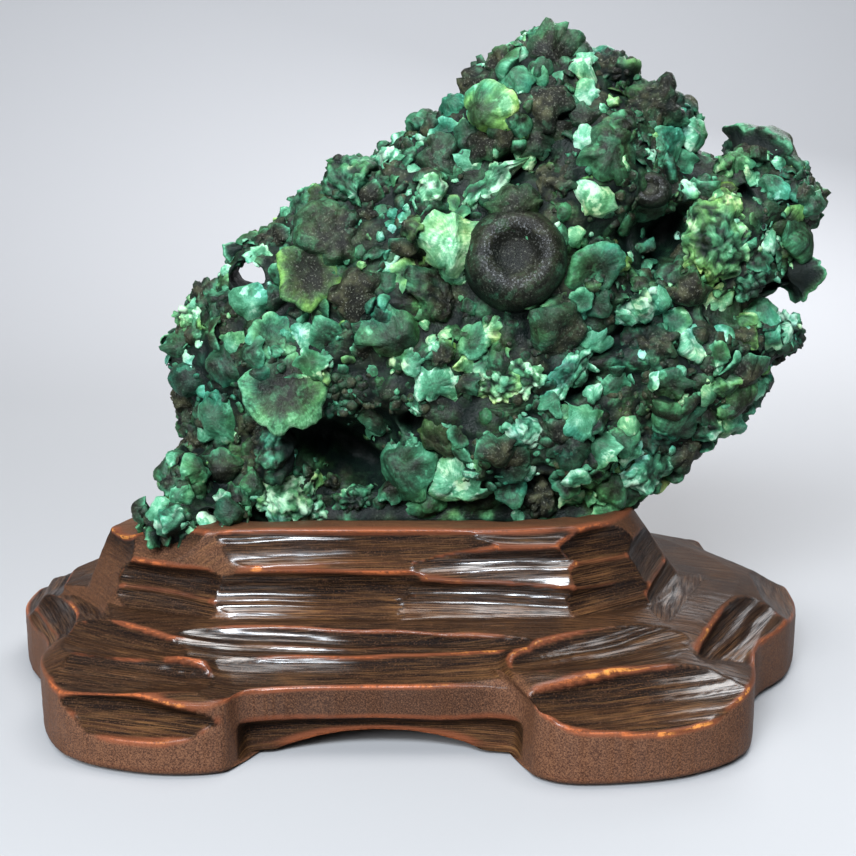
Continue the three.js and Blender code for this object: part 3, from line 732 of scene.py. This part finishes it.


# growths on the face, one by one: kind, x, z, radius, tone, fresh rim, yellow
faceGrowths = [
    ("plate", -30.5, 91.5, 2.8, .7, .7, .1), ("dish", -19, 83, 6.2, .16, .5, .9),
    ("crust", -39, 80, 2.6, .12, .1, 0), ("druse", -41, 75, 3.4, .8, .5, .2),
    ("dome", -43.5, 70, 3.4, .3, .2, 0), ("plate", -42, 67, 2, .9, .9, 0),
    ("dome", -35, 66.5, 4.2, .3, .3, 0), ("dome", -42, 63.5, 3.8, .25, .2, 0),
    ("bulb", -36.5, 56.5, 5.2, .5, .5, 0), ("dish", -24, 61, 8.2, .24, .9, .2),
    ("dish", -26, 71.5, 4.8, .42, .7, .2), ("plate", -33.5, 71, 2.8, .8, .9, 0),
    ("plate", -20, 72.5, 2.8, .85, .9, 0), ("plate", -30, 78, 3.8, .75, .8, 0),
    ("dome", -25.5, 79, 2.8, .22, .3, 0), ("dome", -10, 79, 5.4, .04, .1, 0),
    ("dome", -13, 90.5, 7.8, .18, .3, .1), ("plate", -1, 83.5, 3.4, .6, .8, .8),
    ("flake", 7, 90, 6.2, .8, .9, .35), ("dome", -3, 72.5, 5.8, .3, .5, .1),
    ("cup", 12, 71, 3.4, .5, 1, 0),
    ("plate", 5, 63, 5, .7, .8, 0), ("druse", 14, 66.5, 2.8, .8, .5, .3),
    ("beads", -13.5, 60, 6.8, .15, .1, 0), ("druse", -25.5, 41.5, 7, .85, .6, .4),
    ("druse", -20, 38.5, 5, .8, .6, .5), ("druse", -11.5, 40, 3.8, .4, .7, 0),
    ("plate", -0.5, 47, 6.6, .42, .7, 0), ("plate", 3, 39, 4.2, .45, .7, 0),
    ("flake", 9, 44.5, 6.2, .8, .9, .1), ("bulb", -48.5, 38, 2.8, .8, .8, 0),
    ("bulb", -44.5, 41, 2.4, .6, .6, 0), ("bulb", -40.5, 35, 3, .8, .8, .2),
    ("bulb", -35, 37.5, 2.8, .3, .2, 0), ("crust", -43, 56, 2.8, .15, .1, 0),
    ("dome", -44, 48, 2.8, .35, .6, 0), ("plate", -35.5, 47, 4.2, .2, .5, 0),
    ("bead", -41.5, 42.5, 2.4, .35, .3, 0), ("dome", 25.5, 127, 2.2, .4, .3, 0),
    ("dome", 18.5, 125.5, 3.8, .5, .5, 0), ("crust", 12, 118, 3.8, .08, .1, 0),
    ("plate", 19.5, 122.5, 2, .85, .9, 0), ("disc", 23.5, 119, 2, .75, .5, .3),
    ("dome", 26, 123, 5.4, .18, .2, .1), ("plate", 24.5, 114, 5.4, .05, .1, 0),
    ("mush", 14.5, 113.5, 5, .4, .9, .8), ("dome", 7.5, 114, 2.8, .5, .3, 0),
    ("dish", 6.5, 109, 3.2, .55, .8, 0), ("dome", 5.5, 104.5, 4.2, .2, .2, 0),
    ("dome", 11, 108.5, 3, .35, .2, 0), ("plate", 31, 124.5, 2.8, .85, .9, .2),
    ("plate", 31.5, 121, 2.4, .85, .9, 0), ("dome", 34, 122.5, 2.8, .5, .3, 0),
    ("plate", 32.5, 116, 3, .85, .9, 0), ("plate", 31.5, 107.5, 3.2, .95, 1, 0),
    ("dome", 31.5, 112, 2.6, .2, .2, 0), ("crust", 43, 113, 6.4, .12, .3, .1),
    ("plate", 36.5, 114.5, 1.6, .8, .7, 1), ("plate", 46, 106.5, 4.2, .45, .5, 0),
    ("plate", 49, 104.5, 3.8, .5, .4, 0), ("dome", 36.5, 105.5, 5.8, .28, .4, .1),
    ("eye", 44, 99, 3.8, .03, .1, 0), ("plate", 34, 97, 3.8, .7, .7, .1),
    ("plate", 21.5, 104, 2.4, .8, .9, 0), ("plate", 24.5, 105.5, 1.8, .85, .9, 0),
    ("crust", 26, 100.5, 4.8, .08, .2, 0), ("ridge", 14, 100, 4.6, .7, .9, .1),
    ("druse", 3.5, 99, 2.8, .75, .5, .2), ("eye", 19.5, 86.5, 9.8, .02, .1, 0),
    ("dome", 19.5, 95, 5.4, .18, .2, .2), ("cup", 34.5, 84.5, 5.4, .36, .6, 0),
    ("bead", 31, 77, 1.6, .85, .5, 0), ("dome", 30.5, 90.5, 2.4, .8, .7, 0),
    ("druse", 57, 89, 7.4, .5, .5, .45), ("dome", 63, 107, 2.8, .5, .3, 0),
    ("druse", 58, 102.5, 3, .6, .5, .2), ("dome", 66, 89.5, 3, .8, .6, 0),
    ("plate", 49, 74.5, 3.8, .6, .6, .6), ("crust", 45, 70.5, 5, .15, .3, .1),
    ("dome", 65, 76.5, 3.8, .55, .7, .1), ("plate", 68, 72, 3, .7, .8, .3),
    ("bead", 51, 65, 1.4, .85, .6, 0), ("disc", 57.5, 66, 2, .8, .5, .2),
    ("plate", 65.5, 62.5, 2.8, .7, .9, 0), ("plate", 60, 55.5, 4.2, .8, .9, 0),
    ("plate", 41.5, 54.5, 2.8, .8, .9, 0), ("plate", 49, 62.5, 3.8, .3, .3, .1),
    ("dome", 39, 63, 3, .5, .8, 0), ("dome", 34.5, 60.5, 2.2, .8, .7, 0),
    ("flake", 33, 56, 4.6, .78, .8, 0), ("dome", 31, 50.5, 4.6, .22, .1, 0),
    ("dome", 40.5, 52, 3.4, .5, .5, 0), ("plate", 42, 50, 3, .7, .8, .1),
    ("plate", 32, 44.5, 3, .65, .8, 0), ("plate", 19.5, 46, 3, .25, .3, 0),
    ("plate", 22.5, 46, 2.4, .8, .8, 0), ("cup", 19, 42.5, 3.8, .35, .8, 0),
    ("crust", 25, 41, 4.2, .04, .1, 0), ("plate", 21, 36.5, 1.6, .8, .8, 0),
    ("dome", 39, 43, 3.8, .3, .4, .1), ("plate", 37.5, 36, 3.8, .55, .7, 0),
    ("plate", 42.5, 41, 3, .4, .7, 0), ("druse", 15.5, 62.5, 5, .6, .5, .6),
    ("druse", 21.5, 64.5, 3.8, .65, .5, .2), ("ridge", 30.5, 65, 4.2, .7, .9, 0),
]


# Growths are gathered here as plain rows, then turned into arrays for one tier of sizes at a time.
def asGroup(rows):
    keys = ("place", "facing", "radius", "kind", "tone", "rim", "sulfur", "turn", "stretch")
    group = {key: np.array([row[i] for row in rows], float) for i, key in enumerate(keys)}
    group["kind"] = group["kind"].astype(int)
    group["facing"] = unit(group["facing"])
    return group


# One growth as a row, in the order that asGroup names its fields.
def growth(place, facing, radius, kind, tone, rim, sulfur, turn=0.0, stretch=1.0):
    number = growthKinds.index(kind)
    return (tuple(place), tuple(facing), radius, number, tone, rim, sulfur, turn, stretch)


# A listed growth sits where the line of sight to its place meets the stone.
def faceRows(tree, rng):
    rows = []
    eye = Vector(view["eye"])
    for kind, x, z, radius, tone, rim, sulfur in faceGrowths:
        aim = Vector((x, -18.0, z))
        hit, normal, _, _ = tree.ray_cast(eye, (aim - eye).normalized())
        if hit is None:
            hit, normal, _, _ = tree.find_nearest(aim)
        toEye = np.array((eye - hit).normalized())
        facing = 0.55 * np.array(normal) + 0.75 * toEye + 0.20 * rng.normal(0, 1, 3)
        place = np.array(hit)
        if kind == "eye":
            facing = toEye + np.array([0.02, 0, 0.22])
        if kind == "dish":
            facing = toEye + np.array([0.05, 0, 0.25]) + 0.12 * rng.normal(0, 1, 3)
        if kind == "beads":
            for _ in range(26):
                spot = rng.uniform(-1, 1, 2) * (radius, radius * 0.65)
                near, side, _, _ = tree.find_nearest(Vector((x + spot[0], hit.y, z + spot[1])))
                size, shade = rng.uniform(0.7, 1.3), rng.uniform(.04, .3)
                rows.append(growth(near, np.array(side) + 0.4 * toEye, size, "bulb", shade, .3, 0))
            continue
        stretch = rng.uniform(0.8, 1.25)
        if kind == "ridge":
            kind, stretch = "crust", 2.4
        if kind == "bead":
            kind = "bulb"
        facing = unit(facing)
        lift = growthLift.get(kind, 0)
        rows.append(growth(place + facing * radius * lift, facing, radius, kind, tone, rim, sulfur,
                           rng.uniform(0, 6.3), stretch))
    return rows


# kinds for the rest of the stone, with how often each comes up
fillKinds = {
    "large": (("dome", .34), ("crust", .22), ("dish", .14), ("plate", .08), ("cup", .08),
              ("druse", .14)),
    "medium": (("dome", .28), ("plate", .20), ("crust", .22), ("flake", .10), ("cup", .12),
               ("druse", .08)),
    "small": (("dome", .22), ("plate", .30), ("bulb", .06), ("flake", .24), ("crust", .18)),
}
# the tiers they come in: least and greatest radius, how many, how far apart for their sizes, seed
fillTiers = {
    "large": ((4.2, 7.4), 60, 0.74, 21), "medium": ((2.1, 3.9), 400, 0.52, 22),
    "small": ((0.6, 1.9), 2500, 0.42, 23),
}
# the meshes that growths are gathered in: least radius, rows down each growth and points round it
growthMeshes = {
    "malachiteDruse": (3.2, 34, 72), "malachiteLobes": (4.2, 22, 52),
    "malachitePlates": (2.1, 15, 26), "malachiteCrumbs": (0, 8, 11),
}
mostTriangles = 195000  # in one mesh


# Fills the stone with one tier of growths: random spots on it, kept apart from those already there.
def fillRows(points, normals, taken, tier, radii, count, apart, seed):
    rng = np.random.default_rng(seed)
    names = [kind for kind, _ in fillKinds[tier]]
    odds = np.array([chance for _, chance in fillKinds[tier]])
    order = rng.permutation(len(points))
    spots = np.array([row[0] for row in taken]).reshape(-1, 3)
    sizes = np.array([row[2] for row in taken])
    rows = []
    bias = 0.5 + 0.9 * layeredNoise(points, 16.0, seed + 1, 2)  # broad zones, dull to lively
    blocked = openness(points, 1.1)
    seatX, seatY = standShape["seatMiddle"]
    for index in order:
        if len(rows) >= count:
            break
        place, normal = points[index], normals[index]
        inSeat = place[2] < 37 and abs(place[0] - seatX) < 48 and abs(place[1] - seatY) < 14
        if inSeat or place[2] < 34 or blocked[index] > 0.25 or normal[2] < -0.85:
            continue
        if tier == "small":  # many more of the smallest
            radius = radii[0] * (radii[1] / radii[0]) ** rng.uniform()
        else:
            radius = rng.uniform(*radii)
        gaps = np.linalg.norm(spots - place, axis=1)
        if (gaps < apart * (sizes * 0.8 + radius)).any():
            continue
        if any(math.hypot(place[0] - x, place[2] - z) < halfWidth + 0.9 * radius
               for x, z, halfWidth, _ in stoneShape["holes"]):
            continue
        kind = names[rng.choice(len(names), p=odds / odds.sum())]
        onEdge = abs(normal[1]) < 0.5 and tier != "small"
        if onEdge and kind in ("plate", "flake", "dish", "cup"):
            kind = "crust"  # a thin one would jut out of the outline
        zone = np.clip(bias[index], 0.1, 0.9)
        lively = rng.uniform() < zone * (0.7 if kind in ("plate", "flake") else 0.3)
        tone = rng.uniform(0.5, 0.9) if lively else 0.04 + (0.2 + 0.4 * zone) * rng.uniform() ** 1.2
        rim = np.clip(rng.normal(0.3 + 0.6 * zone, 0.22), 0, 1)
        sulfur = rng.uniform(0.2, 0.9) if rng.uniform() < 0.12 else 0.0
        facing = unit(0.8 * normal + 0.36 * rng.normal(0, 1, 3))
        if facing @ normal < 0.25:
            facing = normal
        lift = growthLift.get(kind, 0)
        rows.append(growth(place + facing * radius * lift, facing, radius, kind, tone, rim, sulfur,
                           rng.uniform(0, 6.3), rng.uniform(0.75, 1.35)))
        spots = np.vstack([spots, place])
        sizes = np.append(sizes, radius)
    return rows


# All the growths, listed one by one and then by tiers, gathered into a few meshes.
def buildGrowths(core):
    points, normals = meshArrays(core.data)
    faces = [tuple(face.vertices) for face in core.data.polygons]
    tree = BVHTree.FromPolygons(points.tolist(), faces)
    rng = np.random.default_rng(stoneShape["seed"])
    rows = faceRows(tree, rng)
    for tier, (radii, count, apart, seed) in fillTiers.items():
        rows += fillRows(points, normals, rows, tier, radii, count, apart, seed)
    druse = growthKinds.index("druse")
    pieces = []
    for name, (least, down, around) in growthMeshes.items():
        anyKind = name != "malachiteDruse"
        belongs = [row[2] >= least and (anyKind or row[3] == druse) for row in rows]
        chosen = [row for row, mine in zip(rows, belongs) if mine]
        rows = [row for row, mine in zip(rows, belongs) if not mine]
        each = 2 * (down - 2) * around
        parts = math.ceil(len(chosen) * each / mostTriangles)
        chosen.sort(key=lambda row: row[0][1])  # from the front of the stone to its back
        for number in range(parts):
            share = chosen[number * len(chosen) // parts:(number + 1) * len(chosen) // parts]
            seed = 61 + 10 * len(pieces)
            piece = growthPiece(name + "ABCDEF"[number], asGroup(share), down, around, seed)
            pieces.append(piece)
            print(piece.name, len(share), "growths,", len(share) * each, "triangles")
    return pieces


# A material with an empty node tree.
def newMaterial(name):
    material = bpy.data.materials.new(name)
    material.use_nodes = True
    material.node_tree.nodes.clear()
    return material


# Adds a node, with its inputs given as values or as sockets to link from; i0, i1 ... are by number.
def addNode(tree, kind, settings=None, **inputs):
    node = tree.nodes.new("ShaderNode" + kind)
    for key, value in (settings or {}).items():
        setattr(node, key, value)
    for key, value in inputs.items():
        byNumber = key[0] == "i" and key[1:].isdigit()
        socket = node.inputs[int(key[1:]) if byNumber else key]
        if isinstance(value, bpy.types.NodeSocket):
            tree.links.new(value, socket)
        else:
            socket.default_value = value
    return node


# Two values joined by a sum, a product or the like.
def mathNode(tree, operation, a, b=0.0, clamp=False):
    node = addNode(tree, "Math", {"operation": operation, "use_clamp": clamp}, i0=a, i1=b)
    return node.outputs[0]


# One colour laid over another by a share.
def mixColour(tree, share, a, b, blend="MIX"):
    node = addNode(tree, "Mix", {"data_type": "RGBA", "blend_type": blend}, i0=share, i6=a, i7=b)
    return node.outputs[2]


# Colour read from a scale of places and screen colours.
def ramp(tree, value, stops):
    node = tree.nodes.new("ShaderNodeValToRGB")
    elements = node.color_ramp.elements
    while len(elements) < len(stops):
        elements.new(0.5)
    for element, (place, colour) in zip(elements, stops):
        element.position = place
        element.color = (*linear(colour), 1)
    tree.links.new(value, node.inputs[0])
    return node.outputs[0]


# Value eased from one range into another.
def spread(tree, value, low, high, toLow=0.0, toHigh=1.0):
    node = addNode(tree, "MapRange", {"interpolation_type": "SMOOTHSTEP"},
                   i0=value, i1=low, i2=high, i3=toLow, i4=toHigh)
    return node.outputs[0]


# Plain noise from 0 to 1.
def noiseNode(tree, vector, scale, detail, roughness, distortion=0.0):
    node = addNode(tree, "TexNoise", None, Vector=vector, Scale=scale, Detail=detail,
                   Roughness=roughness, Distortion=distortion)
    return node.outputs[0]


# An attribute kept at the points.
def attributeNode(tree, name):
    return addNode(tree, "Attribute", {"attribute_name": name})


# Shared effect: noise eased into a mask, for worn, speckled and mottled surfaces.
def brokenGroup():
    group = bpy.data.node_groups.get("brokenPatches")
    if group:
        return group
    group = bpy.data.node_groups.new("brokenPatches", "ShaderNodeTree")
    face = group.interface
    face.new_socket("Place", in_out="INPUT", socket_type="NodeSocketVector")
    for name in ("Scale", "Detail", "Roughness", "Low", "High", "From", "To"):
        face.new_socket(name, in_out="INPUT", socket_type="NodeSocketFloat")
    face.new_socket("Noise", in_out="OUTPUT", socket_type="NodeSocketFloat")
    face.new_socket("Mask", in_out="OUTPUT", socket_type="NodeSocketFloat")
    given = group.nodes.new("NodeGroupInput").outputs
    result = group.nodes.new("NodeGroupOutput").inputs
    noise = noiseNode(group, given["Place"], given["Scale"], given["Detail"], given["Roughness"])
    mask = spread(group, noise, given["Low"], given["High"], given["From"], given["To"])
    group.links.new(noise, result["Noise"])
    group.links.new(mask, result["Mask"])
    return group


# Adds the shared effect to a material; its outputs are the plain noise and the mask.
def broken(tree, place, scale, detail, roughness, low, high, start=0.0, end=1.0):
    node = tree.nodes.new("ShaderNodeGroup")
    node.node_tree = brokenGroup()
    values = {"Scale": scale, "Detail": detail, "Roughness": roughness, "Low": low, "High": high,
              "From": start, "To": end}
    for name, value in values.items():
        node.inputs[name].default_value = value
    tree.links.new(place, node.inputs["Place"])
    return node.outputs["Noise"], node.outputs["Mask"]


# Linear colour from 0..255 screen values.
def linear(colour):
    return tuple(c / 255 / 12.92 if c <= 10 else ((c / 255 + 0.055) / 1.055) ** 2.4 for c in colour)


# The mineral: its colours as screen values, and its unevenness, each a noise's scale, detail and
# roughness, the range of it that makes a mask and the mask's two ends.
stoneFinish = {
    # the colour scale of the mineral, from dark velvet to the pale broken fibres
    "scale": ((0.0, (9, 10, 7)), (0.10, (16, 21, 15)), (0.20, (21, 35, 24)), (0.34, (30, 54, 39)),
              (0.50, (38, 76, 55)), (0.68, (52, 106, 78)), (0.84, (80, 134, 106)),
              (1.0, (140, 174, 150))),
    "yellow": ((0.0, (28, 36, 18)), (0.35, (58, 86, 38)), (0.65, (104, 146, 66)),
               (1.0, (178, 206, 130))),
    # the next colours include painted shade for the hollows and painted glints for the specks and the
    # eye's ring
    "hollow": (4, 11, 10), "glint": (128, 130, 116), "ring": (96, 98, 102),
    "velvetDark": (25, 25, 17), "velvetPale": (58, 58, 41),
    "warm": (255, 232, 148), "cool": (176, 236, 255),
}
stoneUneven = {
    "mottle": (520.0, 4, 0.65, 0.36, 0.56, 0.25, 1.1),
    "patches": (130.0, 3, 0.55, 0.46, 0.62, 0.0, 0.06),
    "grain": (2400.0, 3, 0.7, 0.56, 0.68), "breaks": (230.0, 3, 0.6, 0.58, 0.63, 0.0, 0.22),
    "warmth": (90.0, 2, 0.5, 0.50, 0.66, 0.0, 0.5),
}


# Green mineral whose tone each piece carries, broken by fibres, mottling and bands, with brown
# velvet in the dark middles, painted glints on the velvet and the eye's ring, and painted shade in
# the hollows between.
def stoneMaterial():
    f = stoneFinish
    flat = {key: (*linear(value), 1) for key, value in f.items() if key not in ("scale", "yellow")}
    material = newMaterial("malachiteMineral")
    tree = material.node_tree
    place = addNode(tree, "TexCoord").outputs["Object"]
    look = addNode(tree, "SeparateXYZ", None, Vector=attributeNode(tree, "look").outputs["Vector"])
    form = addNode(tree, "SeparateXYZ", None, Vector=attributeNode(tree, "form").outputs["Vector"])
    fibre = attributeNode(tree, "fibre").outputs["Vector"]
    tone, fresh, sulfur = look.outputs
    hollow, velvet, ringGlint = form.outputs
    fibres = noiseNode(tree, fibre, 2.6, 4, 0.65, 0.2)
    mottle, freshMask = broken(tree, place, *stoneUneven["mottle"])
    patches, bandMask = broken(tree, place, *stoneUneven["patches"])
    grain, glintMask = broken(tree, place, *stoneUneven["grain"])
    breakMask = broken(tree, place, *stoneUneven["breaks"])[1]
    warmth, warmMask = broken(tree, place, *stoneUneven["warmth"])

    def centred(value, size):
        return mathNode(tree, "MULTIPLY", mathNode(tree, "SUBTRACT", value, 0.5), size)

    # tone: what the piece was given, moved up and down by each kind of unevenness
    ring = addNode(tree, "SeparateXYZ", None, Vector=fibre).outputs[2]
    band = mathNode(tree, "ADD", mathNode(tree, "MULTIPLY", ring, 19.0),
                    mathNode(tree, "MULTIPLY", patches, 9.0))
    band = mathNode(tree, "SINE", band)
    t = tone
    for part in (centred(fibres, 0.45), centred(mottle, 0.45), centred(patches, 0.50),
                 centred(grain, 0.25), mathNode(tree, "MULTIPLY", band, bandMask), breakMask):
        t = mathNode(tree, "ADD", t, part)
    freshTone = mathNode(tree, "ADD", 0.80, centred(fibres, 0.7))
    freshShare = mathNode(tree, "MULTIPLY", fresh, freshMask, True)
    t = addNode(tree, "Mix", None, i0=freshShare, i2=t, i3=freshTone).outputs[0]
    t = mathNode(tree, "ADD", t, 0.0, True)
    # green or yellowish, warmer here and cooler there
    colour = ramp(tree, t, f["scale"])
    yellow = ramp(tree, t, f["yellow"])
    yellowShare = mathNode(tree, "MULTIPLY", sulfur, spread(tree, patches, 0.40, 0.60, 0.2, 0.9))
    colour = mixColour(tree, yellowShare, colour, yellow)
    coolMask = spread(tree, warmth, 0.46, 0.34, 0.0, 0.7)
    colour = mixColour(tree, warmMask, colour, flat["warm"], "MULTIPLY")
    colour = mixColour(tree, coolMask, colour, flat["cool"], "MULTIPLY")
    # brown velvet, painted glints as pale specks and on the eye's ring, and painted shade in hollows
    nap = mixColour(tree, spread(tree, mottle, 0.36, 0.64), flat["velvetDark"], flat["velvetPale"])
    napShare = mathNode(tree, "MULTIPLY", velvet, spread(tree, patches, 0.38, 0.60, 0.1, 0.9))
    colour = mixColour(tree, napShare, colour, nap)
    # painted glints: pale specks, most of them on the velvet
    glintShare = mathNode(tree, "ADD", 0.08, mathNode(tree, "MULTIPLY", velvet, 0.34))
    glints = mathNode(tree, "MULTIPLY", glintMask, glintShare)
    colour = mixColour(tree, glints, colour, flat["glint"])
    ringGlintShare = mathNode(tree, "MULTIPLY", ringGlint, spread(tree, grain, 0.50, 0.66, 0.0, 0.45))
    colour = mixColour(tree, ringGlintShare, colour, flat["ring"])
    colour = mixColour(tree, mathNode(tree, "MULTIPLY", hollow, 0.94), colour, flat["hollow"])
    height = mathNode(tree, "ADD", mottle, mathNode(tree, "MULTIPLY", grain, 0.5))
    bump = addNode(tree, "Bump", None, Strength=0.6, Distance=0.0006, Height=height).outputs[0]
    rough = mathNode(tree, "ADD", 0.44, mathNode(tree, "MULTIPLY", velvet, 0.3))
    rough = mathNode(tree, "ADD", rough, centred(mottle, 0.3))
    shader = addNode(tree, "BsdfPrincipled", None, Roughness=rough, Normal=bump)
    shader.inputs["Specular IOR Level"].default_value = 0.12
    tree.links.new(colour, shader.inputs["Base Color"])
    tree.links.new(shader.outputs[0], addNode(tree, "OutputMaterial").inputs[0])
    return material


core = buildCore()
print("stone core:", len(core.data.polygons), "faces")
stonePieces = [core] + buildGrowths(core)
mineral = stoneMaterial()
for piece in stonePieces:
    piece.data.materials.append(mineral)
    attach(piece, "root")
    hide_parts("malachite")
print("stone grown")


# The stand's wood: its colours as screen values, and its unevenness, given as the stone's is.
standFinish = {
    # deep is the darkest stain, and also the colour of the painted shade
    "deep": (9, 5, 4), "stain": (56, 34, 19), "olive": (114, 79, 46), "wallDark": (48, 29, 21),
    "wallLight": (96, 65, 46), "rubbed": (98, 53, 33), "worn": (152, 82, 46),
    "wornBright": (192, 126, 60),
}
standUneven = {
    "streaks": (1100.0, 4, 0.65, 0.32, 0.64), "hairs": (4600.0, 3, 0.6, 0.42, 0.68, 0.0, 0.5),
    "clouds": (55.0, 3, 0.6, 0.60, 0.42, 0.0, 0.5), "speckle": (3400.0, 3, 0.75, 0.34, 0.68),
    "bright": (28.0, 2, 0.5, 0.5, 0.62), "rubs": (900.0, 3, 0.7, 0.34, 0.56, 0.7, 1.1),
    "drawnOut": (0.032, 1, 1),  # how far the streaks and hairs are drawn out along a cut
}


# Dark stain over open grain, drawn out along the cuts, rubbed through to bare wood on the ridges,
# with painted shade along the scoops' upper sides, in their grooves and in the recess over the arch.
def standMaterial():
    f = {key: (*linear(value), 1) for key, value in standFinish.items()}
    material = newMaterial("stainedHardwood")
    tree = material.node_tree
    place = addNode(tree, "TexCoord").outputs["Object"]
    names = ("cut", "wear", "stainAndShade", "gloss")
    cut, wear, stainAndShade, gloss = (attributeNode(tree, name).outputs["Fac"] for name in names)
    cutPlace = attributeNode(tree, "cutPlace").outputs["Vector"]
    drawnOut = standUneven["drawnOut"]
    alongCut = addNode(tree, "Mapping", None, Vector=cutPlace, Scale=drawnOut).outputs[0]
    streakMask = broken(tree, alongCut, *standUneven["streaks"])[1]
    hair, hairMask = broken(tree, alongCut, *standUneven["hairs"])
    clouds, cloudMask = broken(tree, place, *standUneven["clouds"])
    speckle, speckleMask = broken(tree, place, *standUneven["speckle"])
    # stained wood in the cuts, with painted shade along their upper sides and in their grooves, and
    # darker stain on the level ledge
    body = mixColour(tree, streakMask, f["deep"], f["stain"])
    body = mixColour(tree, hairMask, body, f["olive"])
    body = mixColour(tree, cloudMask, body, f["deep"])
    gathered = mathNode(tree, "MULTIPLY", stainAndShade, spread(tree, hair, 0.66, 0.36, 0.6, 0.92))
    body = mixColour(tree, gathered, body, f["deep"])
    # speckled wood where no cut passes
    wall = mixColour(tree, speckleMask, f["wallDark"], f["wallLight"])
    # painted shade in the recess over the arch, darker stain on the level ledge
    wall = mixColour(tree, stainAndShade, wall, f["deep"])
    colour = mixColour(tree, cut, wall, body)
    fine = spread(tree, speckle, 0.54, 0.66, 0.0, 0.35)
    colour = mixColour(tree, fine, colour, f["wallLight"])
    # rubbed edges: a reddish glow, then a broken line of bare wood
    colour = mixColour(tree, spread(tree, wear, 0.05, 0.45, 0.0, 0.75), colour, f["rubbed"])
    brightMask = broken(tree, place, *standUneven["bright"])[1]
    rubMask = broken(tree, place, *standUneven["rubs"])[1]
    bare = mixColour(tree, brightMask, f["worn"], f["wornBright"])
    line = spread(tree, mathNode(tree, "MULTIPLY", wear, rubMask), 0.5, 0.95, 0.0, 0.85)
    colour = mixColour(tree, line, colour, bare)
    inCuts = mathNode(tree, "MULTIPLY", hair, cut)
    height = mathNode(tree, "ADD", inCuts, mathNode(tree, "MULTIPLY", speckle, 0.5))
    bump = addNode(tree, "Bump", None, Strength=0.7, Distance=0.0004, Height=height).outputs[0]
    # polish that the grain and the wear have broken up
    thin = mathNode(tree, "MULTIPLY", spread(tree, clouds, 0.62, 0.42, 0.35, 1.0),
                    spread(tree, hair, 0.38, 0.54, 0.12, 1.0))
    shine = mathNode(tree, "MULTIPLY", gloss, thin)
    dull = spread(tree, speckle, 0.3, 0.7, 0.5, 0.62)
    rough = mathNode(tree, "SUBTRACT", dull, mathNode(tree, "MULTIPLY", shine, 0.27))
    shader = addNode(tree, "BsdfPrincipled", None, Roughness=rough, Normal=bump)
    shader.inputs["Specular IOR Level"].default_value = 0.05
    shader.inputs["Coat Roughness"].default_value = 0.2
    shader.inputs["Coat IOR"].default_value = 1.9
    tree.links.new(colour, shader.inputs["Base Color"])
    tree.links.new(shine, shader.inputs["Coat Weight"])
    tree.links.new(shader.outputs[0], addNode(tree, "OutputMaterial").inputs[0])
    return material


standPiece.data.materials.append(standMaterial())
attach(standPiece, "root")
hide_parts("carved_stand")
print("stand finished")


# The room, and its lights with each one's place, aim, size, power and colour.
room = {
    "floor": (0.22, 0.22, 0.225), "wall": (0.62, 0.62, 0.64),
    "world": (0.86, 0.88, 0.92), "worldStrength": 0.16,
}
roomLights = {
    "windowLight": ((-300, -520, 330), (-10, 0, 50), (260, 200), 4.8, (0.95, 0.98, 1.0)),
    "ceilingLight": ((60, -60, 700), (0, 0, 40), (500, 420), 6.2, (1.0, 1.0, 1.0)),
    "glossLight": ((-60, -470, 420), (-5, -25, 25), (300, 120), 8.5, (0.84, 0.92, 1.0)),
    "backLight": ((260, 420, 420), (30, 20, 60), (360, 260), 2.5, (0.95, 0.97, 1.0)),
}


# Floor that curves up into a wall behind the object: a profile carried straight across.
def buildRoom():
    turn = np.linspace(0, math.pi / 2, 24)
    bend = np.column_stack([300 + 700 * np.sin(turn), 700 - 700 * np.cos(turn)])
    profile = np.vstack([[(-1500, 0)], bend, [(1000, 1900)]])
    across = np.array([-1800.0, 1800.0])
    points = np.array([[x, y, z] for y, z in profile for x in across])
    row = np.arange(len(profile) - 1)
    quads = np.stack([row * 2, row * 2 + 1, row * 2 + 3, row * 2 + 2], -1)
    piece = meshPiece("floorSweep", points, quads)
    material = newMaterial("paleSweep")
    tree = material.node_tree
    place = addNode(tree, "SeparateXYZ", None, Vector=addNode(tree, "TexCoord").outputs["Object"])
    back = spread(tree, place.outputs[1], 0.0, 0.9)
    colour = mixColour(tree, back, (*room["floor"], 1), (*room["wall"], 1))
    shader = addNode(tree, "BsdfPrincipled", None, Roughness=0.7)
    tree.links.new(colour, shader.inputs["Base Color"])
    tree.links.new(shader.outputs[0], addNode(tree, "OutputMaterial").inputs[0])
    piece.data.materials.append(material)


# A soft light: a rectangle that faces what it lights.
def areaLight(name, place, aim, size, power, colour):
    lamp = bpy.data.lights.new(name, "AREA")
    lamp.shape = "RECTANGLE"
    lamp.size, lamp.size_y = size[0] * mm, size[1] * mm
    lamp.energy = power
    lamp.color = colour
    thing = bpy.data.objects.new(name, lamp)
    thing.location = Vector(place) * mm
    thing.rotation_euler = (Vector(aim) - Vector(place)).to_track_quat("-Z", "Y").to_euler()
    bpy.context.scene.collection.objects.link(thing)


# The camera, level from side to side and looking slightly down.
def buildCamera():
    camera = bpy.data.cameras.new("camera")
    camera.sensor_width = view["sensor"]
    camera.lens = view["lens"]
    camera.clip_start = 0.01
    thing = bpy.data.objects.new("camera", camera)
    thing.location = Vector(view["eye"]) * mm
    thing.rotation_euler = (math.radians(90 - view["lookDown"]), 0, 0)
    bpy.context.scene.collection.objects.link(thing)
    bpy.context.scene.camera = thing


buildRoom()
for name, settings in roomLights.items():
    areaLight(name, *settings)
world = bpy.data.worlds.new("softRoom")
world.use_nodes = True
world.node_tree.nodes["Background"].inputs[0].default_value = (*room["world"], 1)
world.node_tree.nodes["Background"].inputs[1].default_value = room["worldStrength"]
bpy.context.scene.world = world
buildCamera()
bpy.context.scene.view_settings.view_transform = "Standard"  # colours as mixed, with no film look
print("camera and lights set")
